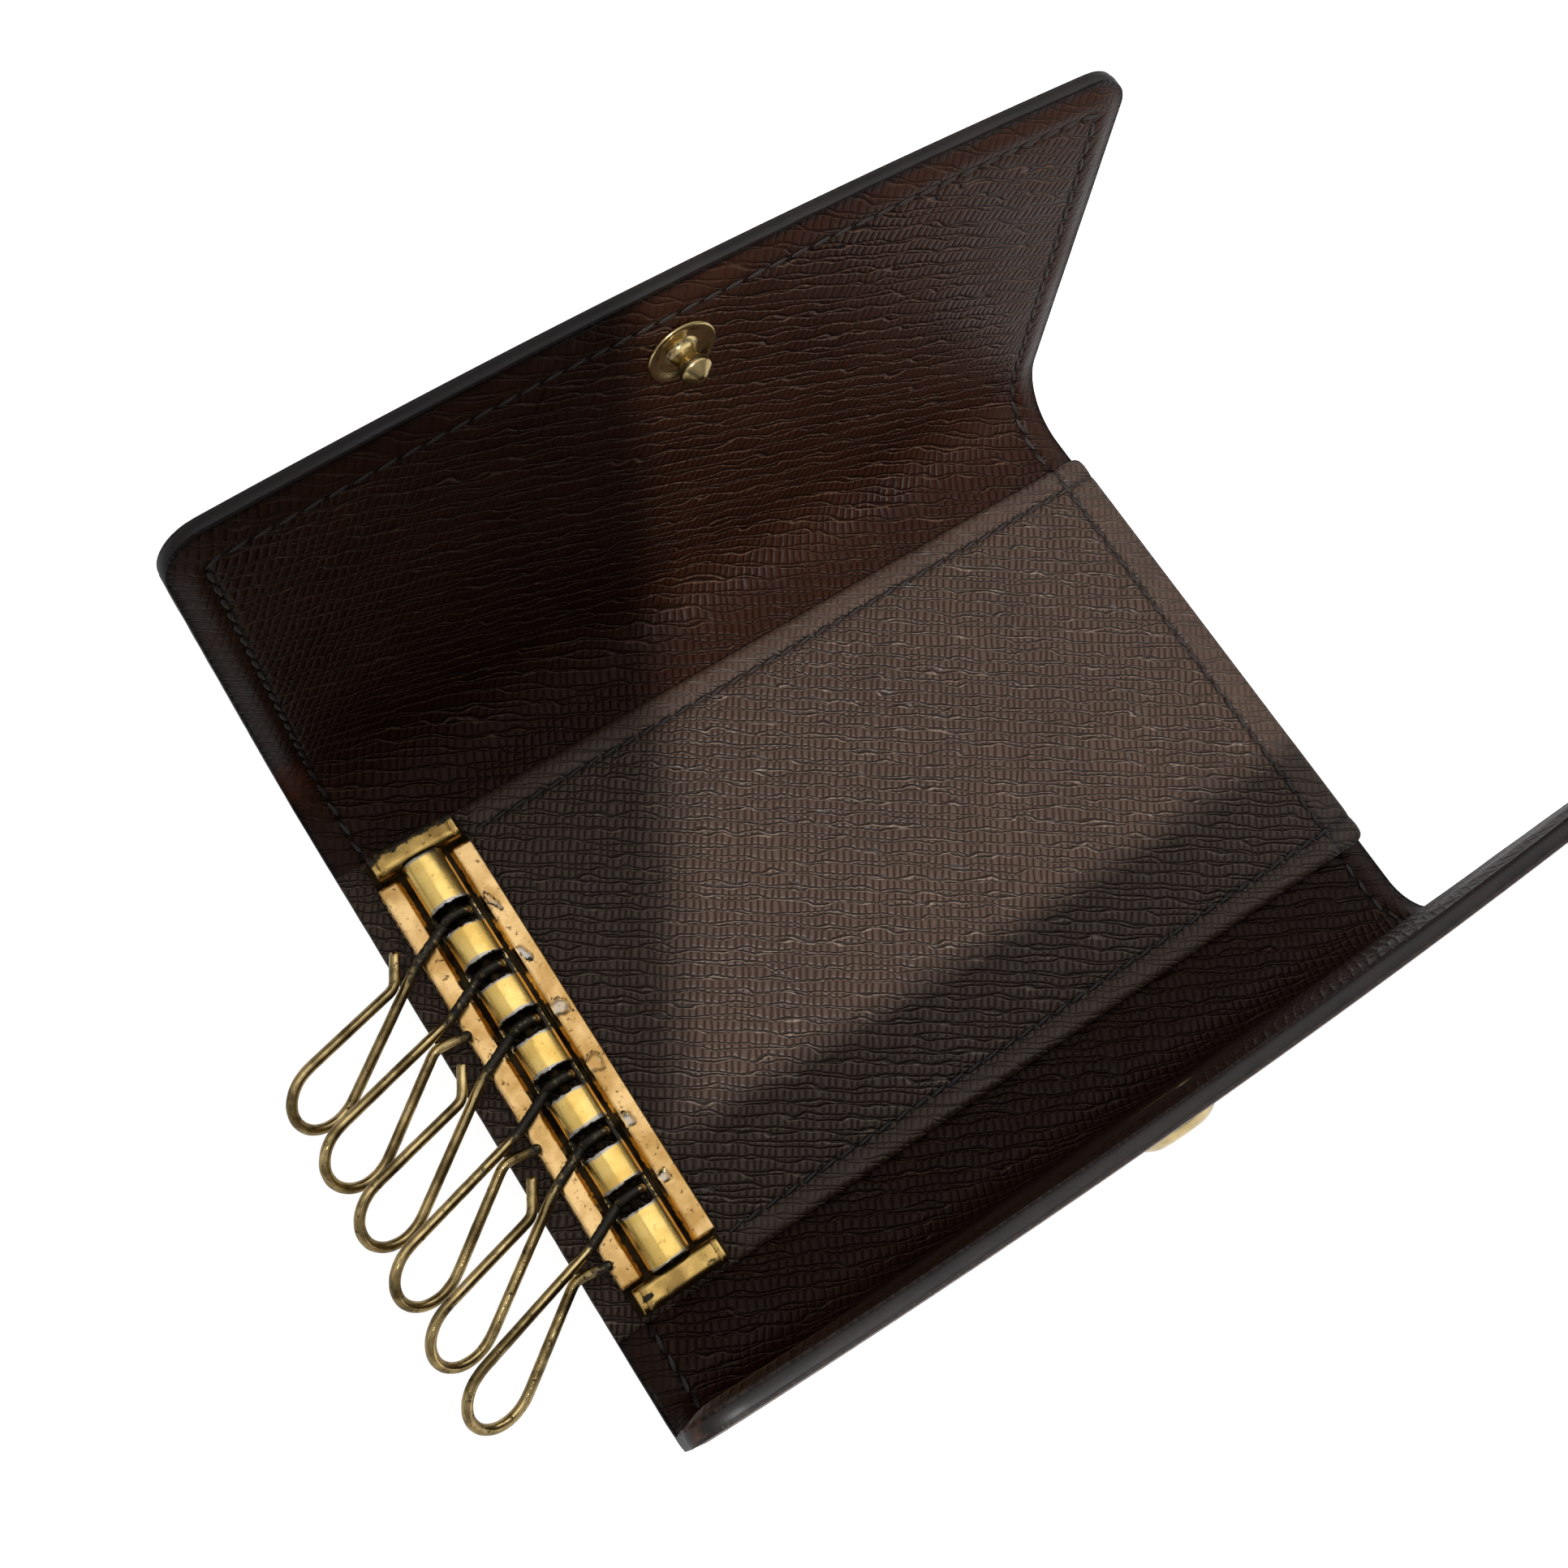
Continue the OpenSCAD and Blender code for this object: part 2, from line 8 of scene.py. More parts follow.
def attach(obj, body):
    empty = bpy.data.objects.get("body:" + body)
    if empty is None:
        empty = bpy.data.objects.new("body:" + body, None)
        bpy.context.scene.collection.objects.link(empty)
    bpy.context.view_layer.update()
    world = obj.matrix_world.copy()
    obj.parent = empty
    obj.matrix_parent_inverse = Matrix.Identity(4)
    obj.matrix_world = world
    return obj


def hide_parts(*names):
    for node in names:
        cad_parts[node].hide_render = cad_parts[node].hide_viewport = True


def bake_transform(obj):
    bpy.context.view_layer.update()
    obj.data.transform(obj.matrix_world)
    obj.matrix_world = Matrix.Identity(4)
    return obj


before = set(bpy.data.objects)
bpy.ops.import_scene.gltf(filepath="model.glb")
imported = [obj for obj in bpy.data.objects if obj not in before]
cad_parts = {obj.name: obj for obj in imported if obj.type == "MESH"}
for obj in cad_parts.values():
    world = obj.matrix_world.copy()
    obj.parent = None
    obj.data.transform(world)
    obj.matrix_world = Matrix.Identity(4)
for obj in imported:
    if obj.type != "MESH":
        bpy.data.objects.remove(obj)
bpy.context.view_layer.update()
mm = 0.001

# The case lies open on its back: X along the folds from the rack end, Y to the stud flap, Z up.
case = {
    "halfLength": 50.0,
    "thickness": 2.3,
    "lining": 0.9,
    "edgeWidth": 0.75,      # painted rim seen from above
    "stitchInset": 3.5,
    "stitchPitch": 2.35,
    "skive": 0.6,           # the lining is thinned towards the rim
    "canvasSkive": 0.15,    # and the canvas a little
}
studSide = {"sign": 1, "half": 31.4, "radius": 7.45, "angle": 84.6, "reach": 45.5,
            "corner": 4.5, "bow": 1.37, "snap": 36.9}
socketSide = {"sign": -1, "half": 33.7, "radius": 4.5, "angle": 92.2, "reach": 47.1,
              "corner": 4.5, "bow": 1.23, "snap": 28.2}
rack = {"x": -41.5, "z": 5.3, "pitch": 6.84, "base": 3.6, "slot": 2.8, "footX": -33, "footY": 29.2}


# Colours and materials

def linearColour(text):
    parts = [int(text[i:i + 2], 16) / 255 for i in (1, 3, 5)]
    return tuple(c / 12.92 if c <= 0.04045 else ((c + 0.055) / 1.055) ** 2.4 for c in parts) + (1.0,)


# Values fill the node's sockets in order. A name with a capital is a socket's, any other a setting's.
pick = {"ATTRIBUTE": "Fac", "MIX": 2, "TEX_COORD": "Object"}    # the output used when a whole node is given


def addNode(tree, kind, *values, stops=(), **named):
    node = tree.nodes.new("ShaderNode" + kind)
    inputs = dict(enumerate(values))
    if kind == "Mix":
        node.data_type = "RGBA"
        inputs = dict(zip((0, 6, 7), values))
    if kind == "Math":      # multiplies two values, and adds a third, unless told otherwise
        node.operation = "MULTIPLY_ADD" if len(values) == 3 else "MULTIPLY"
    for key, value in named.items():
        if key[0].isupper():
            inputs[key.replace("_", " ")] = value
        else:
            setattr(node, key, value)
    for key, value in inputs.items():
        if isinstance(value, bpy.types.Node):
            value = value.outputs[pick.get(value.type, 0)]
        if isinstance(value, bpy.types.NodeSocket):
            tree.links.new(value, node.inputs[key])
        else:
            node.inputs[key].default_value = linearColour(value) if isinstance(value, str) else value
    bar = node.color_ramp.elements if stops else []
    while len(bar) < len(stops):
        bar.new(0.5)
    for element, (place, colour) in zip(bar, stops):
        element.position = place
        element.color = linearColour(colour)
    return node


def startMaterial(name):
    material = bpy.data.materials.new(name)
    material.use_nodes = True
    material.node_tree.nodes.clear()
    return material, partial(addNode, material.node_tree)


def finishMaterial(material, **sockets):
    shader = addNode(material.node_tree, "BsdfPrincipled", **sockets)
    addNode(material.node_tree, "OutputMaterial", Surface=shader)
    return material


# Cross grain calf: long creases that meet and part again, crossed by a finer straighter set; shade is painted into the
# creases and a highlight onto their lips
grain = {
    "pitch": 0.78,          # mm between the long creases
    "crossPitch": 0.84,
    "sway": 1.9,            # mm that a long crease wanders
    "crossSway": 0.9,
    "depth": 0.00015,
    "lipHighlight": 0.13,            # mm from a crease to its lip, where a highlight is painted
    # painted shade: the colour that the creases darken towards
    "creaseShade": "#140a07",
    "scuff": "#5f3120",
}


def creaseLines(add, place, across, pitch, sway, stretch, seed):
    # distance in mm to the nearest of many lines that wander sideways, and to the lip beside it, where a highlight is
    # painted
    scaled = add("Mapping", Vector=place, Location=(seed, seed, 0), Scale=stretch)
    wander = add("TexNoise", Vector=scaled, Scale=1.0, Detail=1.0)
    moved = add("Math", wander, sway, across)
    beside = add("Math", moved, grain["lipHighlight"], operation="ADD")
    return [add("Math", value, pitch / 2, operation="PINGPONG") for value in (moved, beside)]


def crossGrain(name, angle, pitchScale, crossShare, low, base, ridge, lipHighlight, specular, creaseShadeStrength):
    material, add = startMaterial(name)
    uv = add("UVMap", uv_map="Flat")
    turned = add("Mapping", Vector=uv, Rotation=(0, 0, radians(-angle)))
    parts = add("SeparateXYZ", Vector=turned)
    pitch, crossPitch = grain["pitch"] * 2 * pitchScale, grain["crossPitch"] * pitchScale
    sway, crossSway = grain["sway"] * pitchScale, grain["crossSway"] * pitchScale
    mainStretch, crossStretch = (0.24 / pitchScale, 0.5 / pitchScale, 1), (0.5 / pitchScale, 0.2 / pitchScale, 1)
    first, firstLipHighlight = creaseLines(add, turned, parts.outputs["Y"], pitch, sway, mainStretch, 3.0)
    second, secondLipHighlight = creaseLines(add, turned, parts.outputs["Y"], pitch, -sway, mainStretch, 31.0)
    cross = creaseLines(add, turned, parts.outputs["X"], crossPitch, crossSway, crossStretch, 57.0)[0]
    patches = add("TexNoise", Vector=uv, Scale=0.09, Detail=2.0)
    mainNear = add("Math", first, second, operation="MINIMUM")
    mainCrease = add("MapRange", mainNear, 0.0, 0.11, 1.0, 0.0, interpolation_type="SMOOTHSTEP")
    crossCrease = add("MapRange", cross, 0.0, 0.1, 1.0, 0.0, interpolation_type="SMOOTHSTEP")
    crossFade = add("MapRange", patches, 0.35, 0.62, crossShare * 0.45, crossShare)
    crossPart = add("Math", crossCrease, crossFade)
    creases = add("Math", mainCrease, crossPart, operation="MAXIMUM")
    nearest = add("Math", mainNear, cross, operation="MINIMUM")
    pillow = add("MapRange", nearest, 0.06, 0.32, 0.0, 1.0, interpolation_type="SMOOTHSTEP")
    pores = add("TexNoise", Vector=uv, Scale=4.5, Detail=3.0)
    raised = add("Math", pillow, 0.5)
    lowered = add("Math", raised, creases, operation="SUBTRACT")
    height = add("Math", pores, 0.22, lowered)
    band = add("Attribute", attribute_name="band")
    bare = add("Math", band, -0.65, 1.0)
    depth = add("Math", bare, grain["depth"])
    bump = add("Bump", Strength=1.0, Distance=depth, Height=height)

    tone = add("ValToRGB", patches, stops=[(0.3, low), (0.7, base)])
    ridgeShare = add("Math", pillow, 0.4)
    ridged = add("Mix", ridgeShare, tone, ridge)
    # painted shade: the colour darkens in the creases
    lined = add("Math", creases, bare)
    creaseShadeShare = add("Math", lined, creaseShadeStrength)
    # painted highlight: a light line along the lip beside each crease, stronger in patches of glints
    lipHighlightNear = add("Math", firstLipHighlight, secondLipHighlight, operation="MINIMUM")
    glints = add("TexNoise", Vector=uv, Scale=2.0, Detail=2.0)
    lipHighlightShare = add("MapRange", lipHighlightNear, 0.0, 0.08, 0.9, 0.0)
    glintShare = add("MapRange", glints, 0.4, 0.62, 0.3, 0.9)
    lipHighlightBare = add("Math", lipHighlightShare, bare)
    lipHighlightPart = add("Math", lipHighlightBare, glintShare)
    creaseShaded = add("Mix", creaseShadeShare, ridged, grain["creaseShade"])
    lipHighlighted = add("Mix", lipHighlightPart, creaseShaded, lipHighlight)
    # painted shade along the stitch groove; the same attribute also darkens a band at the rim
    seamShade = add("Attribute", attribute_name="seamShade")
    seamShaded = add("Mix", seamShade, lipHighlighted, "#0c0504")
    scuff = add("Attribute", attribute_name="scuff")
    rub = add("TexNoise", Vector=uv, Scale=0.8, Detail=5.0, Roughness=0.7)
    rubbed = add("Math", scuff, rub, -0.32)
    scuffShare = add("MapRange", rubbed, 0.0, 0.22, 0.0, 0.85)
    colour = add("Mix", scuffShare, seamShaded, grain["scuff"])
    rough = add("MapRange", patches, 0.3, 0.7, 0.4, 0.52)
    return finishMaterial(material, Base_Color=colour, Roughness=rough, Normal=bump, Specular_IOR_Level=specular)


# after the grain shape: low, base and ridge tones, painted lip highlight colour, specular, strength of the painted
# crease shade
liningLeather = crossGrain("liningLeather", -27.0, 1.08, 0.55, "#210e07", "#30180b", "#402316", "#80614f", 0.13, 0.6)
patchLeather = crossGrain("patchLeather", -34.0, 0.94, 0.66, "#3a2920", "#4e3b2f", "#664e40", "#b59e8d", 0.32, 0.78)


# Coated canvas: woven cotton under a clear coat, two browns in fine diagonal ribs
weavePitch = {"rib": 1.3, "thread": 0.65}       # mm


def coatedCanvas():
    material, add = startMaterial("coatedCanvas")
    uv = add("UVMap", uv_map="Flat")
    parts = add("SeparateXYZ", Vector=uv)
    along = add("Math", parts.outputs["X"], parts.outputs["Y"], operation="ADD")
    ribs = add("Math", along, 2 * pi / weavePitch["rib"])
    ribWave = add("Math", ribs, operation="SINE")
    turns = [add("Math", parts.outputs[axis], 2 * pi / weavePitch["thread"])
             for axis in "XY"]
    threads = [add("Math", turn, operation="SINE") for turn in turns]
    weave = add("Math", threads[0], threads[1])
    cloud = add("TexNoise", Vector=uv, Scale=0.12, Detail=3.0)
    speckle = add("TexNoise", Vector=uv, Scale=3.0, Detail=2.0)
    light = add("Math", ribWave, 0.27, 0.3)
    lightWoven = add("Math", weave, 0.12, light)
    lightClouded = add("Math", cloud, 0.26, lightWoven)
    tone = add("ValToRGB", lightClouded, stops=[(0.15, "#2b1a11"), (0.5, "#4d311f"), (0.85, "#7c5938")])
    # painted shade along the stitch groove; the same attribute also darkens a band at the rim
    seamShade = add("Attribute", attribute_name="seamShade")
    colour = add("Mix", seamShade, tone, "#0e0907")
    height = add("Math", weave, 0.4, speckle)
    bump = add("Bump", Strength=0.6, Distance=0.00006, Height=height)
    rough = add("MapRange", cloud, 0.3, 0.7, 0.42, 0.5)
    return finishMaterial(material, Base_Color=colour, Roughness=rough, Normal=bump, Specular_IOR_Level=0.35,
                          Coat_Weight=0.05, Coat_Roughness=0.3)


# Edge paint: thick dark lacquer brushed on the cut edge, worn to brown at the corners
def edgePaint():
    material, add = startMaterial("edgePaint")
    place = add("TexCoord")
    swell = add("TexNoise", Vector=place, Scale=260.0, Detail=3.0)
    brushed = add("TexNoise", Vector=place, Scale=900.0, Detail=2.0)
    scuff = add("Attribute", attribute_name="scuff")
    rubbed = add("Math", scuff, swell, -0.28)
    share = add("MapRange", rubbed, 0.0, 0.2, 0.0, 0.9)
    tone = add("ValToRGB", swell, stops=[(0.35, "#120e0c"), (0.7, "#201a17")])
    colour = add("Mix", share, tone, "#5b3524")
    height = add("Math", brushed, 0.3, swell)
    bump = add("Bump", Strength=0.5, Distance=0.0001, Height=height)
    rough = add("MapRange", swell, 0.3, 0.7, 0.42, 0.56)
    return finishMaterial(material, Base_Color=colour, Roughness=rough, Normal=bump, Specular_IOR_Level=0.32)


# Polyester thread: twisted, dark brown, a little shiny
def stitchThread():
    material, add = startMaterial("stitchThread")
    uv = add("UVMap", uv_map="Flat")
    twist = add("TexWave", Vector=uv, Scale=1.6, Distortion=0.6)
    colour = add("ValToRGB", twist, stops=[(0.2, "#100806"), (0.8, "#2a1a13")])
    bump = add("Bump", Strength=0.5, Distance=0.00008, Height=twist.outputs["Fac"])
    return finishMaterial(material, Base_Color=colour, Roughness=0.55, Normal=bump)


# Brass in its finishes: bright rolled sheet, rosy rubbed bar, aged pressed cap, blackened wire
def brass(name, bright, dull, dark, rough, speckScale, speckShare):
    material, add = startMaterial(name)
    place = add("TexCoord")
    cloud = add("TexNoise", Vector=place, Scale=330.0, Detail=4.0)
    specks = add("TexNoise", Vector=place, Scale=speckScale, Detail=4.0, Roughness=0.65)
    long = add("Mapping", Vector=place, Scale=(1.0, 0.06, 1.0))
    hairlines = add("TexNoise", Vector=long, Scale=5200.0, Detail=2.0)
    tone = add("ValToRGB", cloud, stops=[(0.38, dull), (0.62, bright)])
    speckPart = add("MapRange", specks, 0.60, 0.68, 0.0, speckShare)
    spotted = add("Mix", speckPart, tone, dark)
    # the grime attribute darkens towards near-black: real dirt on the cap spots, hook necks and dent rims, and painted
    # shade at the feet, in the slots, the cap folds, the barrel and the socket
    grimeAndShade = add("Attribute", attribute_name="grimeAndShade")
    wear = add("Attribute", attribute_name="wear")
    grimeAndShadeNoise = add("Math", specks, 1.2, -0.6)
    grimeAndShadeEdge = add("Math", grimeAndShade, grimeAndShadeNoise, operation="ADD")
    grimeAndShadePart = add("MapRange", grimeAndShadeEdge, 0.38, 0.6, 0.0, 0.95)
    wearNoise = add("Math", cloud, 1.0, -0.5)
    wearEdge = add("Math", wear, wearNoise, operation="ADD")
    wearPart = add("MapRange", wearEdge, 0.42, 0.62, 0.0, 1.0)
    silvered = add("Mix", wearPart, spotted, "#a9a49c")
    colour = add("Mix", grimeAndShadePart, silvered, "#15110d")
    metal = add("MapRange", grimeAndShadePart, 0.0, 1.0, 1.0, 0.15)
    roughBase = add("MapRange", cloud, 0.35, 0.65, rough * 1.2, rough * 0.8)
    roughSpeck = add("Math", speckPart, 0.25, roughBase)
    roughness = add("Math", grimeAndShadePart, 0.3, roughSpeck, use_clamp=True)
    height = add("Math", hairlines, 0.35, specks)
    bump = add("Bump", Strength=0.35, Distance=0.00004, Height=height)
    return finishMaterial(material, Base_Color=colour, Metallic=metal, Roughness=roughness, Normal=bump)


brightBrass = brass("rolledBrightBrass", "#ecca78", "#deb762", "#5c4218", 0.24, 1400.0, 0.3)
roseBrass = brass("rubbedRoseBrass", "#d6b27a", "#b99156", "#4a3018", 0.27, 1500.0, 0.7)
agedBrass = brass("agedPressedBrass", "#c9a762", "#9b7c46", "#33230f", 0.3, 1100.0, 0.6)
hookBrass = brass("drawnHookBrass", "#cfb57e", "#766440", "#1c150d", 0.24, 1700.0, 0.9)
# near-black brass for the base plate and rod, which show mostly in the narrow gaps and through the slots: painted shade
gapShadeBrass = brass("gapShadePlateBrass", "#2e2417", "#17120b", "#0b0806", 0.5, 1100.0, 0.6)
snapBrass = brass("turnedSnapBrass", "#cdb682", "#a89264", "#4a3a20", 0.22, 1300.0, 0.3)
steel = brass("drawnSpringSteel", "#b9b9b6", "#9c9c9a", "#4a4a48", 0.28, 1300.0, 0.2)
canvas = coatedCanvas()
paint = edgePaint()
thread = stitchThread()
print("materials ready")


# Mesh helpers. Sizes are in millimetres until a piece is finished.

def addObject(name, data):
    made = bpy.data.objects.new(name, data)
    bpy.context.scene.collection.objects.link(made)
    return made


def addMesh(name, bm, material):
    mesh = bpy.data.meshes.new(name)
    bm.to_mesh(mesh)
    bm.free()
    mesh.materials.append(material)
    return addObject(name, mesh)


def finishPiece(name, bm, material, replaced=(), sharp=35):
    bmesh.ops.scale(bm, vec=(mm, mm, mm), verts=bm.verts)
    piece = addMesh(name, bm, material)
    piece.data.shade_smooth()
    piece.data.set_sharp_from_angle(angle=radians(sharp))
    if replaced:
        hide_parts(*replaced)
    return piece


def addLayers(bm, *names):
    return [bm.verts.layers.float.new(name) for name in names]


def faceOutwards(bm):
    bmesh.ops.recalc_face_normals(bm, faces=bm.faces)


def addBox(bm, size, middle):
    made = bmesh.ops.create_cube(bm, size=1)["verts"]
    bmesh.ops.scale(bm, vec=size, verts=made)
    bmesh.ops.translate(bm, vec=middle, verts=made)


def joinPart(whole, part):
    carrier = bpy.data.meshes.new("part")
    part.to_mesh(carrier)
    part.free()
    whole.from_mesh(carrier)
    bpy.data.meshes.remove(carrier)


def doubleSheet(bm):
    # closes a sheet to a slab, and gives the vertices of its lower face
    extruded = bmesh.ops.extrude_face_region(bm, geom=bm.faces[:])
    return {g for g in extruded["geom"] if isinstance(g, bmesh.types.BMVert)}


def runLengths(line):
    lengths = [0]
    for a, b in zip(line, line[1:]):
        lengths.append(lengths[-1] + (b - a).length)
    return lengths


def gridSheet(columns, rows):
    bm = bmesh.new()
    bmesh.ops.create_grid(bm, x_segments=len(columns) - 1, y_segments=len(rows) - 1, size=1)
    for vert in bm.verts:
        i = round((vert.co.x + 1) / 2 * (len(columns) - 1))
        j = round((vert.co.y + 1) / 2 * (len(rows) - 1))
        vert.co = (columns[i], rows[j], 0)
    return bm


def markFlat(bm, sign=1):
    layer = bm.loops.layers.uv.new("Flat")
    for face in bm.faces:
        for loop in face.loops:
            loop[layer].uv = (loop.vert.co.x, loop.vert.co.y * sign)


def sweepRing(stations, ring, place, closed=False, girth=1.0, length=1.0):
    # a tube: place(i, j) gives the point j round the ring at station i
    bm = bmesh.new()
    layer = bm.loops.layers.uv.new("Flat")
    across = stations if closed else stations - 1
    bmesh.ops.create_grid(bm, x_segments=across, y_segments=ring, size=1, calc_uvs=True)
    for face in bm.faces:
        for loop in face.loops:
            loop[layer].uv = (loop[layer].uv.x * length, loop[layer].uv.y * girth)
    for vert in bm.verts:
        i = round((vert.co.x + 1) / 2 * across)
        j = round((vert.co.y + 1) / 2 * ring)
        vert.co = place(i % stations if closed else i, j % ring)
    bmesh.ops.remove_doubles(bm, verts=bm.verts, dist=1e-5)
    if not closed:
        bmesh.ops.holes_fill(bm, edges=[e for e in bm.edges if e.is_boundary], sides=0)
    faceOutwards(bm)
    return bm


def lathe(profile, spot, axis, steps=64):
    bm = bmesh.new()
    points = [bm.verts.new((radius, 0, height)) for radius, height in profile]
    lines = [bm.edges.new(pair) for pair in zip(points, points[1:])]
    if profile[0][0] > 1e-6:
        lines.append(bm.edges.new((points[-1], points[0])))
    bmesh.ops.spin(bm, geom=points + lines, cent=(0, 0, 0), axis=(0, 0, 1), dvec=(0, 0, 0),
                   angle=2 * pi, steps=steps, use_merge=True, use_duplicate=False)
    bmesh.ops.remove_doubles(bm, verts=bm.verts, dist=1e-5)
    faceOutwards(bm)
    turn = Vector((0, 0, 1)).rotation_difference(axis).to_matrix().to_4x4()
    bmesh.ops.transform(bm, matrix=Matrix.Translation(spot) @ turn, verts=bm.verts)
    return bm


def roundedProfile(corners, radius, steps=4):
    # the same corners as a line with each inner corner rounded
    out = [Vector(corners[0])]
    for before, corner, after in zip(corners, corners[1:], corners[2:]):
        a, b, c = Vector(before), Vector(corner), Vector(after)
        cut = min(radius, (b - a).length * 0.45, (c - b).length * 0.45)
        p, q = b + (a - b).normalized() * cut, b + (c - b).normalized() * cut
        for k in range(steps + 1):
            t = k / steps
            out.append(p * (1 - t) ** 2 + b * 2 * t * (1 - t) + q * t ** 2)
    out.append(Vector(corners[-1]))
    return [tuple(p) for p in out]


def smoothStep(low, high, value):
    t = min(max((value - low) / (high - low), 0), 1)
    return t * t * (3 - 2 * t)


def fall(low, high, value):
    return 1 - smoothStep(low, high, value)


def bell(value, middle, width):
    return exp(-((value - middle) / width) ** 2)


def noiseAt(x, y, z):
    return noise.noise(Vector((x, y, z)))


# The folded leather. A flat point is (x, s, up): s runs over the lining from the middle of the
# back to the free edge of the flap, and up is the height over the lining.

def arcOf(side):
    return side["radius"] * radians(side["angle"])


def spanOf(side):
    return side["half"] + arcOf(side) + side["reach"]


def foldPoint(side, x, s, up):
    angle, radius, half = radians(side["angle"]), side["radius"], side["half"]
    arc, reach = radius * angle, radius - up
    if s <= half:
        y, z = s, case["thickness"] + up
    elif s < half + arc:
        turn = (s - half) / radius
        y, z = half + reach * sin(turn), case["thickness"] + radius - reach * cos(turn)
    else:
        far = s - half - arc
        lean = side["bow"] * (x / case["halfLength"]) ** 2 * far / side["reach"]
        y = half + reach * sin(angle) + far * cos(angle) - lean * sin(angle)
        z = case["thickness"] + radius - reach * cos(angle) + far * sin(angle) + lean * cos(angle)
    return Vector((x, side["sign"] * y, z))


def foldUp(side, bm):
    for vert in bm.verts:
        vert.co = foldPoint(side, *vert.co)
    faceOutwards(bm)


def edgeDistance(side, x, s):
    c = side["corner"]
    dx, ds = abs(x) - (case["halfLength"] - c), s - (spanOf(side) - c)
    return c - hypot(max(dx, 0), max(ds, 0)) - min(max(dx, ds), 0)


def roundCorners(side, bm):
    c, span = side["corner"], spanOf(side)
    for vert in bm.verts:
        deep = span - vert.co.y
        if deep < c:
            half = case["halfLength"] - c + sqrt(max(c * c - (c - deep) ** 2, 0))
            vert.co.x *= half / case["halfLength"]


def sheetColumns():
    near = [0, 0.25, 0.6, 1.1, 1.7, 2.3, 2.7, 3.0, 3.25, 3.5, 3.75, 4.0, 4.3, 4.8, 5.5, 6.5, 8.0, 10.0]
    left = [d - case["halfLength"] for d in near]
    middle = [-38 + 2.0 * k for k in range(39)]
    return left + middle + [-x for x in reversed(left)]


def sheetRows(side):
    half, arc, span = side["half"], arcOf(side), spanOf(side)
    rows = [0, 8, 16, 22, 26, 27.6, 28.2, 28.8, half - 0.8]
    rows += [half + arc * k / 18 for k in range(19)]
    start, stop = half + arc, span - 8.0
    rows += [start + (stop - start) * k / 16 for k in range(1, 17)]
    close = (6.5, 5.5, 4.8, 4.3, 4.0, 3.75, 3.5, 3.25, 3.0, 2.7, 2.3, 1.8, 1.3, 0.9, 0.55, 0.25, 0.08, 0)
    return rows + [span - d for d in close]


# Rubbed spots on the flat leather: x, s, reach along x, reach along s, strength
scuffs = {
    1: [(-48.6, 41.0, 2.8, 6.0, 1.0), (-50.0, 58.0, 1.4, 9.0, 0.45), (-49.0, 86.0, 3.0, 4.0, 0.5),
        (49.0, 87.0, 4.0, 3.0, 0.4)],
    -1: [(-45.0, 60.0, 4.0, 12.0, 0.7), (-49.0, 84.0, 7.0, 5.0, 0.8), (-30.0, 87.0, 22.0, 1.6, 0.5),
         (48.0, 86.0, 5.0, 3.0, 0.5)],
}


def markScuffsAndSeamShade(side, bm):
    scuff, band, seamShade = addLayers(bm, "scuff", "band", "seamShade")
    for vert in bm.verts:
        away = edgeDistance(side, vert.co.x, vert.co.y)
        vert[band] = fall(case["stitchInset"] - 0.9, case["stitchInset"] - 0.1, away)
        # painted shade along the stitch groove, and a darker band at the rim next to the edge bead
        vert[seamShade] = max(0.92 * bell(away, case["stitchInset"], 0.32), 0.9 * fall(0.15, 0.7, away))
        for x, s, rx, rs, strength in scuffs[side["sign"]]:
            far = hypot((vert.co.x - x) / rx, (vert.co.y - s) / rs)
            vert[scuff] = max(vert[scuff], strength * fall(0.3, 1.3, far))


def liningRelief(side, x, s):
    away = edgeDistance(side, x, s)
    groove = 0.2 * bell(away, case["stitchInset"], 0.42)
    puff = 0.07 * bell(away, case["stitchInset"] / 2, 1.0)
    dip = case["skive"] * fall(0.2, 2.4, away)
    ripple = 0.05 * noiseAt(x * 0.12, s * 0.12, 3.0)
    return puff - groove - dip + ripple


def canvasRelief(side, x, s):
    away = edgeDistance(side, x, s)
    groove = 0.16 * bell(away, case["stitchInset"], 0.42)
    return case["canvasSkive"] * fall(0.2, 1.2, away) + groove


eyeletHole = {"radius": 2.6, "cuts": [-3.4, -2.2, -1.1, 0, 1.1, 2.2, 3.4], "clear": 3.6}


def cutHole(bm, s):
    # a round hole at x 0 for the eyelet, under its rims
    radius = eyeletHole["radius"]
    inside = [f for f in bm.faces if hypot(f.calc_center_median().x, f.calc_center_median().y - s) < radius]
    bmesh.ops.delete(bm, geom=inside, context="FACES")
    for vert in bm.verts:
        if vert.is_boundary and hypot(vert.co.x, vert.co.y - s) < radius + 1.5:
            way = Vector((vert.co.x, vert.co.y - s)).normalized() * radius
            vert.co.x, vert.co.y = way.x, s + way.y


def recut(places, middle):
    # finer cuts round the eyelet's hole
    kept = [p for p in places if abs(p - middle) > eyeletHole["clear"]]
    return sorted(set(kept + [middle + d for d in eyeletHole["cuts"]]))


